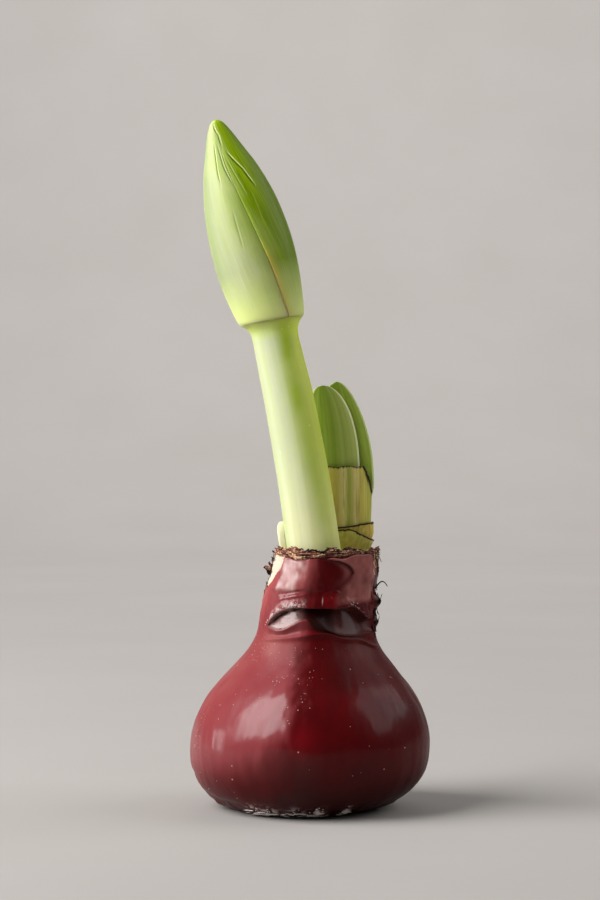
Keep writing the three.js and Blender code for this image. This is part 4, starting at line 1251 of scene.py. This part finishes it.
def makeTube(name, node, layer, wall, edgeOf, material, flutes, seed, more=()):
    # up the outside from the foot to the torn edge and down the inside again, in shares of the height
    angle = allRound(shootForm["columns"])[None]
    foot = bulbForm["socketFloor"] + bulbForm["gap"]
    edge = edgeOf(angle)
    edge = edge + 0.22 * grain(shootPoint(angle, edge, layer), (0.9, 0.9, 40), seed, 2)
    share = 1 - np.linspace(1, 0, shootForm["rows"])[:, None] ** 1.3
    up = mix(foot, edge, share)
    flute = flutes * np.cos(8 * angle) * smooth(up, 111, 119)
    crinkle = 0.1 * grain(shootPoint(angle, up, layer), (2.2, 2.2, 16), seed + 5, 2)
    outer = shootPoint(angle, up, layer, flute + crinkle * smooth(up, 100, 106))
    inner = shootPoint(angle, up[::-1], layer, flute[::-1] - wall)
    steep = smooth(np.abs(np.gradient(edge[0])), 0.08, 0.25)
    below = (edge - np.concatenate([up, up[::-1]])) / 1000 * (1 - 0.7 * steep)
    marks = {"below": below, "side": sideOf(angle) / 360 + 0.5}
    surface = gridSurface(np.concatenate([outer, inner]), marks, rowsClose=True)
    makePiece(name, [surface, *more], material, node)


def sheathSkin():
    # sheath tissue, cut and drying: satin, in lengthwise bands from olive to tan, dark along the cut
    material, tree, side, below = newMaterial("dryingLeafSheath", "side", "below")
    fibres = tissueNoise(tree, side, below, (90, 90))
    moved = addNode(tree, "Math", {0: fibres, 1: 0.05, 2: side}, operation="MULTIPLY_ADD")
    bands = addNode(tree, "ValToRGB", {"Fac": moved}, stops=[
        (0.0, "#b4ba56"), (1.0, "#b4ba56"), (0.44, "#d4c86c"), (0.52, "#d4c664"), (0.555, "#f0e498"),
        (0.58, "#b4bc4a"), (0.615, "#f6e69a"), (0.635, "#d6c862"), (0.665, "#dcd262"), (0.745, "#bcc04e"),
    ])
    near = addNode(tree, "Math", {0: fibres, 1: -0.003, 2: below}, operation="MULTIPLY_ADD")
    skin = layered(tree, bands, ("#8a6a34", fibres, 0.5, 0.8, 0.5), ("#2c1c10", near, -0.0006, -0.0014))
    return finished(material, skin, fleshyLight, (fibres, 0.4, 0.0004))


def scaleSkin(name, light, dark, rim, rimWidth):
    # fleshy scale, grown and drying at its edge: satin and mottled, with a thin rim of another tone
    material, tree, side, below = newMaterial(name, "side", "below")
    mottle = tissueNoise(tree, side, below, (60, 300))
    near = addNode(tree, "Math", {0: mottle, 1: -0.0006, 2: below}, operation="MULTIPLY_ADD")
    skin = layered(tree, light, (dark, mottle, 0.35, 0.65), (rim, near, rimWidth / 1000, rimWidth / 2000))
    return finished(material, skin, fleshyLight, (mottle, 0.5, 0.0003))


innerSkin = scaleSkin("innerFleshyScale", "#e0cc60", "#c0ac46", "#3a2818", 0.35)
outerSkin = scaleSkin("outerFleshyScale", "#e4de74", "#c6c456", "#3a2818", 0.35)
makeTube("leafSheath", "leaf_sheath", 0, 0.9, sheathEdge, sheathSkin(), 0.25, 41, [tornSlivers()])
makeTube("innerScale", "inner_scale", 1, shootForm["scaleWall"], innerScaleEdge, innerSkin, 0, 42)
makeTube("outerScale", "outer_scale", 2, shootForm["scaleWall"], outerScaleEdge, outerSkin, 0, 43)


# a low pale scale that hugs the left of the stalk

besideForm = {
    "from": 122, "to": 190, "low": 97.5, "rise": 13.8, "clear": 0.05, "wall": 2.3, "stalkHalf": 10.4,
    "sections": 70, "climbSteps": 30, "overSteps": 12,
}


def makeBesideScale():
    # a curved wall round the stalk: its section runs up the inside, over the top and down the outside
    form = besideForm
    angle = np.linspace(form["from"], form["to"], form["sections"])[:, None] * deg
    share = np.linspace(0, 1, form["sections"])[:, None]
    top = form["low"] + form["rise"] * np.sin(np.pi * np.clip(share, 0.03, 0.97)) ** 0.6
    foot = bulbForm["socketFloor"] + bulbForm["gap"]
    climb = np.linspace(0, 1, form["climbSteps"])[None]
    over = np.linspace(0, np.pi, form["overSteps"])[None]
    half = form["wall"] / 2
    rounded = [mix(foot, top - half, climb), top - half + half * np.sin(over), mix(top - half, foot, climb)]
    height = np.concatenate(rounded, 1)
    clear = np.concatenate([0 * climb, half - half * np.cos(over), form["wall"] + 0 * climb], 1)
    clear = clear + form["clear"]
    course = curveThrough(stalkForm["course"], 400, True)
    middle = np.interp(height, course[:, 2], course[:, 0])
    lean = clear + 0.5 * smooth(height, 95, 108) * smooth(clear, 0.1, 1.4)
    x = middle + (form["stalkHalf"] + lean) * np.cos(angle)
    y = course[0, 1] + (form["stalkHalf"] * stalkForm["depthRatio"] + lean) * np.sin(angle)
    surface = gridSurface(np.stack([x, y, height], -1), {"below": (top - height) / 1000, "side": share})
    skin = scaleSkin("paleFleshyScale", "#dde0a8", "#ccd288", "#e4e2b8", 0.8)
    makePiece("besideScale", [surface], skin, "beside_scale")


makeBesideScale()


# a dry thread that sticks out of the wax on the right of the neck, with a shorter one above it

threadForm = {
    "long": [(0.3, 0, 0), (1.2, -0.2, 1.3), (2.6, -0.5, 2.6), (3.9, -0.7, 2.4), (5.1, -0.8, 0.8)],
    "short": [(-0.6, -0.1, 2.6), (0.2, -0.1, 3.6), (0.7, -0.1, 4.8)],
    "radii": (0.34, 0.153),  # at the foot and at the tip
    "rows": 40,
    "columns": 12,
    "side": 84,
    "height": 85.2,
}


def makeThread():
    # a round section carried along the curve, thinner towards the end
    foot = bulbSkin(angleOf(threadForm["side"]), threadForm["height"])
    rows, surfaces = threadForm["rows"], []
    for key in ("long", "short"):
        course = curveThrough(threadForm[key], rows, True) + foot
        ahead = unit(np.gradient(course, axis=0))
        right = unit(np.cross(ahead, [0, 1, 0.01]))
        up = np.cross(right, ahead)
        turn = allRound(threadForm["columns"])[None, :, None]
        radius = np.linspace(*threadForm["radii"], rows)[:, None, None]
        points = course[:, None] + radius * (right[:, None] * np.cos(turn) + up[:, None] * np.sin(turn))
        surfaces.append(gridSurface(points, {"along": np.linspace(0, 1, rows)[:, None]}))
    makePiece("dryThread", surfaces, shrivelledThread(), "dry_thread")


def shrivelledThread():
    # dead skin, dried and shrunk to a thread: matt and nearly black, a little paler towards its tip
    material, tree, along = newMaterial("shrivelledThread", "along")
    place = addNode(tree, "TexCoord", output="Object")
    mottle = addNode(tree, "TexNoise", {"Vector": place, "Scale": scaleFor(0.7), "Detail": 2})
    tone = addNode(tree, "Math", {0: mottle, 1: along}, operation="MULTIPLY")
    brown = layered(tree, "#0f0906", ("#4a3226", tone))
    return finished(material, brown, {"Roughness": 0.8, "IOR": 1.4}, (mottle, 0.6, 0.0003))


makeThread()


# camera, floor and lights

stageForm = {
    "camera": (-0.0039, -0.9, 0.139),
    "pixelsForLength": 2308,  # of a frame 900 pixels high, for a length as far from the camera as it is long
    "frameHeight": 900,
    "middle": Vector((0, 0, 0.1)),
    "wallStart": 2000,
    "wallRadius": 1400,
    "worldColour": "#d9d7d4",
    "worldStrength": 0.1,
}


def makeCamera():
    camera = bpy.data.objects.new("camera", bpy.data.cameras.new("camera"))
    camera.location = stageForm["camera"]
    camera.rotation_euler = [90 * deg, 0, 0]
    camera.data.lens = camera.data.sensor_width * stageForm["pixelsForLength"] / stageForm["frameHeight"]
    camera.data.clip_start = 0.01
    bpy.context.scene.collection.objects.link(camera)
    bpy.context.scene.camera = camera


def makeFloor():
    # a level floor that curves up into a wall far behind
    across = np.linspace(-5000, 5000, 3)
    angle = np.linspace(0, 90, 32) * deg
    start, radius = stageForm["wallStart"], stageForm["wallRadius"]
    run = np.concatenate([[-3000, 0], start + radius * np.sin(angle), [start + radius]])
    rise = np.concatenate([[0, 0], radius * (1 - np.cos(angle)), [5000]])
    grid = np.stack(np.broadcast_arrays(across[None], run[:, None], rise[:, None]), -1).reshape(-1, 3) / 1000
    index = np.arange(len(grid)).reshape(len(run), len(across))
    faces = np.stack([index[:-1, :-1], index[:-1, 1:], index[1:, 1:], index[1:, :-1]], -1).reshape(-1, 4)
    mesh = bpy.data.meshes.new("floor")
    mesh.from_pydata(grid.tolist(), [], faces.tolist())
    mesh.polygons.foreach_set("use_smooth", np.ones(len(faces), bool))
    mesh.materials.append(paintedBoard())
    floor = bpy.data.objects.new("floor", mesh)
    bpy.context.scene.collection.objects.link(floor)


def paintedBoard():
    # matt painted board: pale warm grey with the faintest mottling
    material, tree = newMaterial("mattPaintedBoard")
    place = addNode(tree, "TexCoord", output="Object")
    mottle = addNode(tree, "TexNoise", {"Vector": place, "Scale": scaleFor(180), "Detail": 4})
    grey = layered(tree, "#a39e9a", ("#aaa6a2", mottle))
    return finished(material, grey, {"Roughness": 0.85, "IOR": 1.3})


def placeAround(azimuth, elevation, distance):
    # a place round the plant; azimuth 0 is the camera's side, and a negative one lies on its left
    level = np.cos(elevation * deg)
    away = Vector((np.sin(azimuth * deg) * level, -np.cos(azimuth * deg) * level, np.sin(elevation * deg)))
    return stageForm["middle"] + away * distance


def addLight(name, place, target, size, radiance, roll=0):
    # a flat softbox that shines from its place to the target, turned by roll about that line
    made = bpy.data.lights.new(name, "AREA")
    made.shape, made.size, made.size_y = "RECTANGLE", *size
    made.energy = radiance * np.pi * size[0] * size[1]
    lamp = bpy.data.objects.new(name, made)
    lamp.location = place
    aim = (target - place).to_track_quat("-Z", "Y") @ Quaternion((0, 0, 1), roll * deg)
    lamp.rotation_euler = aim.to_euler()
    bpy.context.scene.collection.objects.link(lamp)


def makeWorld():
    world = bpy.data.worlds.new("studio")
    world.use_nodes = True
    background = world.node_tree.nodes["Background"]
    background.inputs["Color"].default_value = colour(stageForm["worldColour"])
    background.inputs["Strength"].default_value = stageForm["worldStrength"]
    bpy.context.scene.world = world
    bpy.context.scene.view_settings.view_transform = "Standard"


makeCamera()
makeFloor()
middle = stageForm["middle"]
addLight("keySoftbox", placeAround(-72, 38, 1.5), middle, (1.25, 1.2), 9.0, 45)
addLight("lowStrip", placeAround(-99, 2, 1.3), middle, (0.36, 0.6), 5.5)
addLight("rightReflector", placeAround(97, 35, 1.5), middle, (1.4, 1.0), 2.4)
addLight("wallWash", Vector((0, 1.5, 2.3)), Vector((0, 3.4, 0.7)), (2.8, 1.0), 9.0)
makeWorld()
print("camera, floor and lights placed")
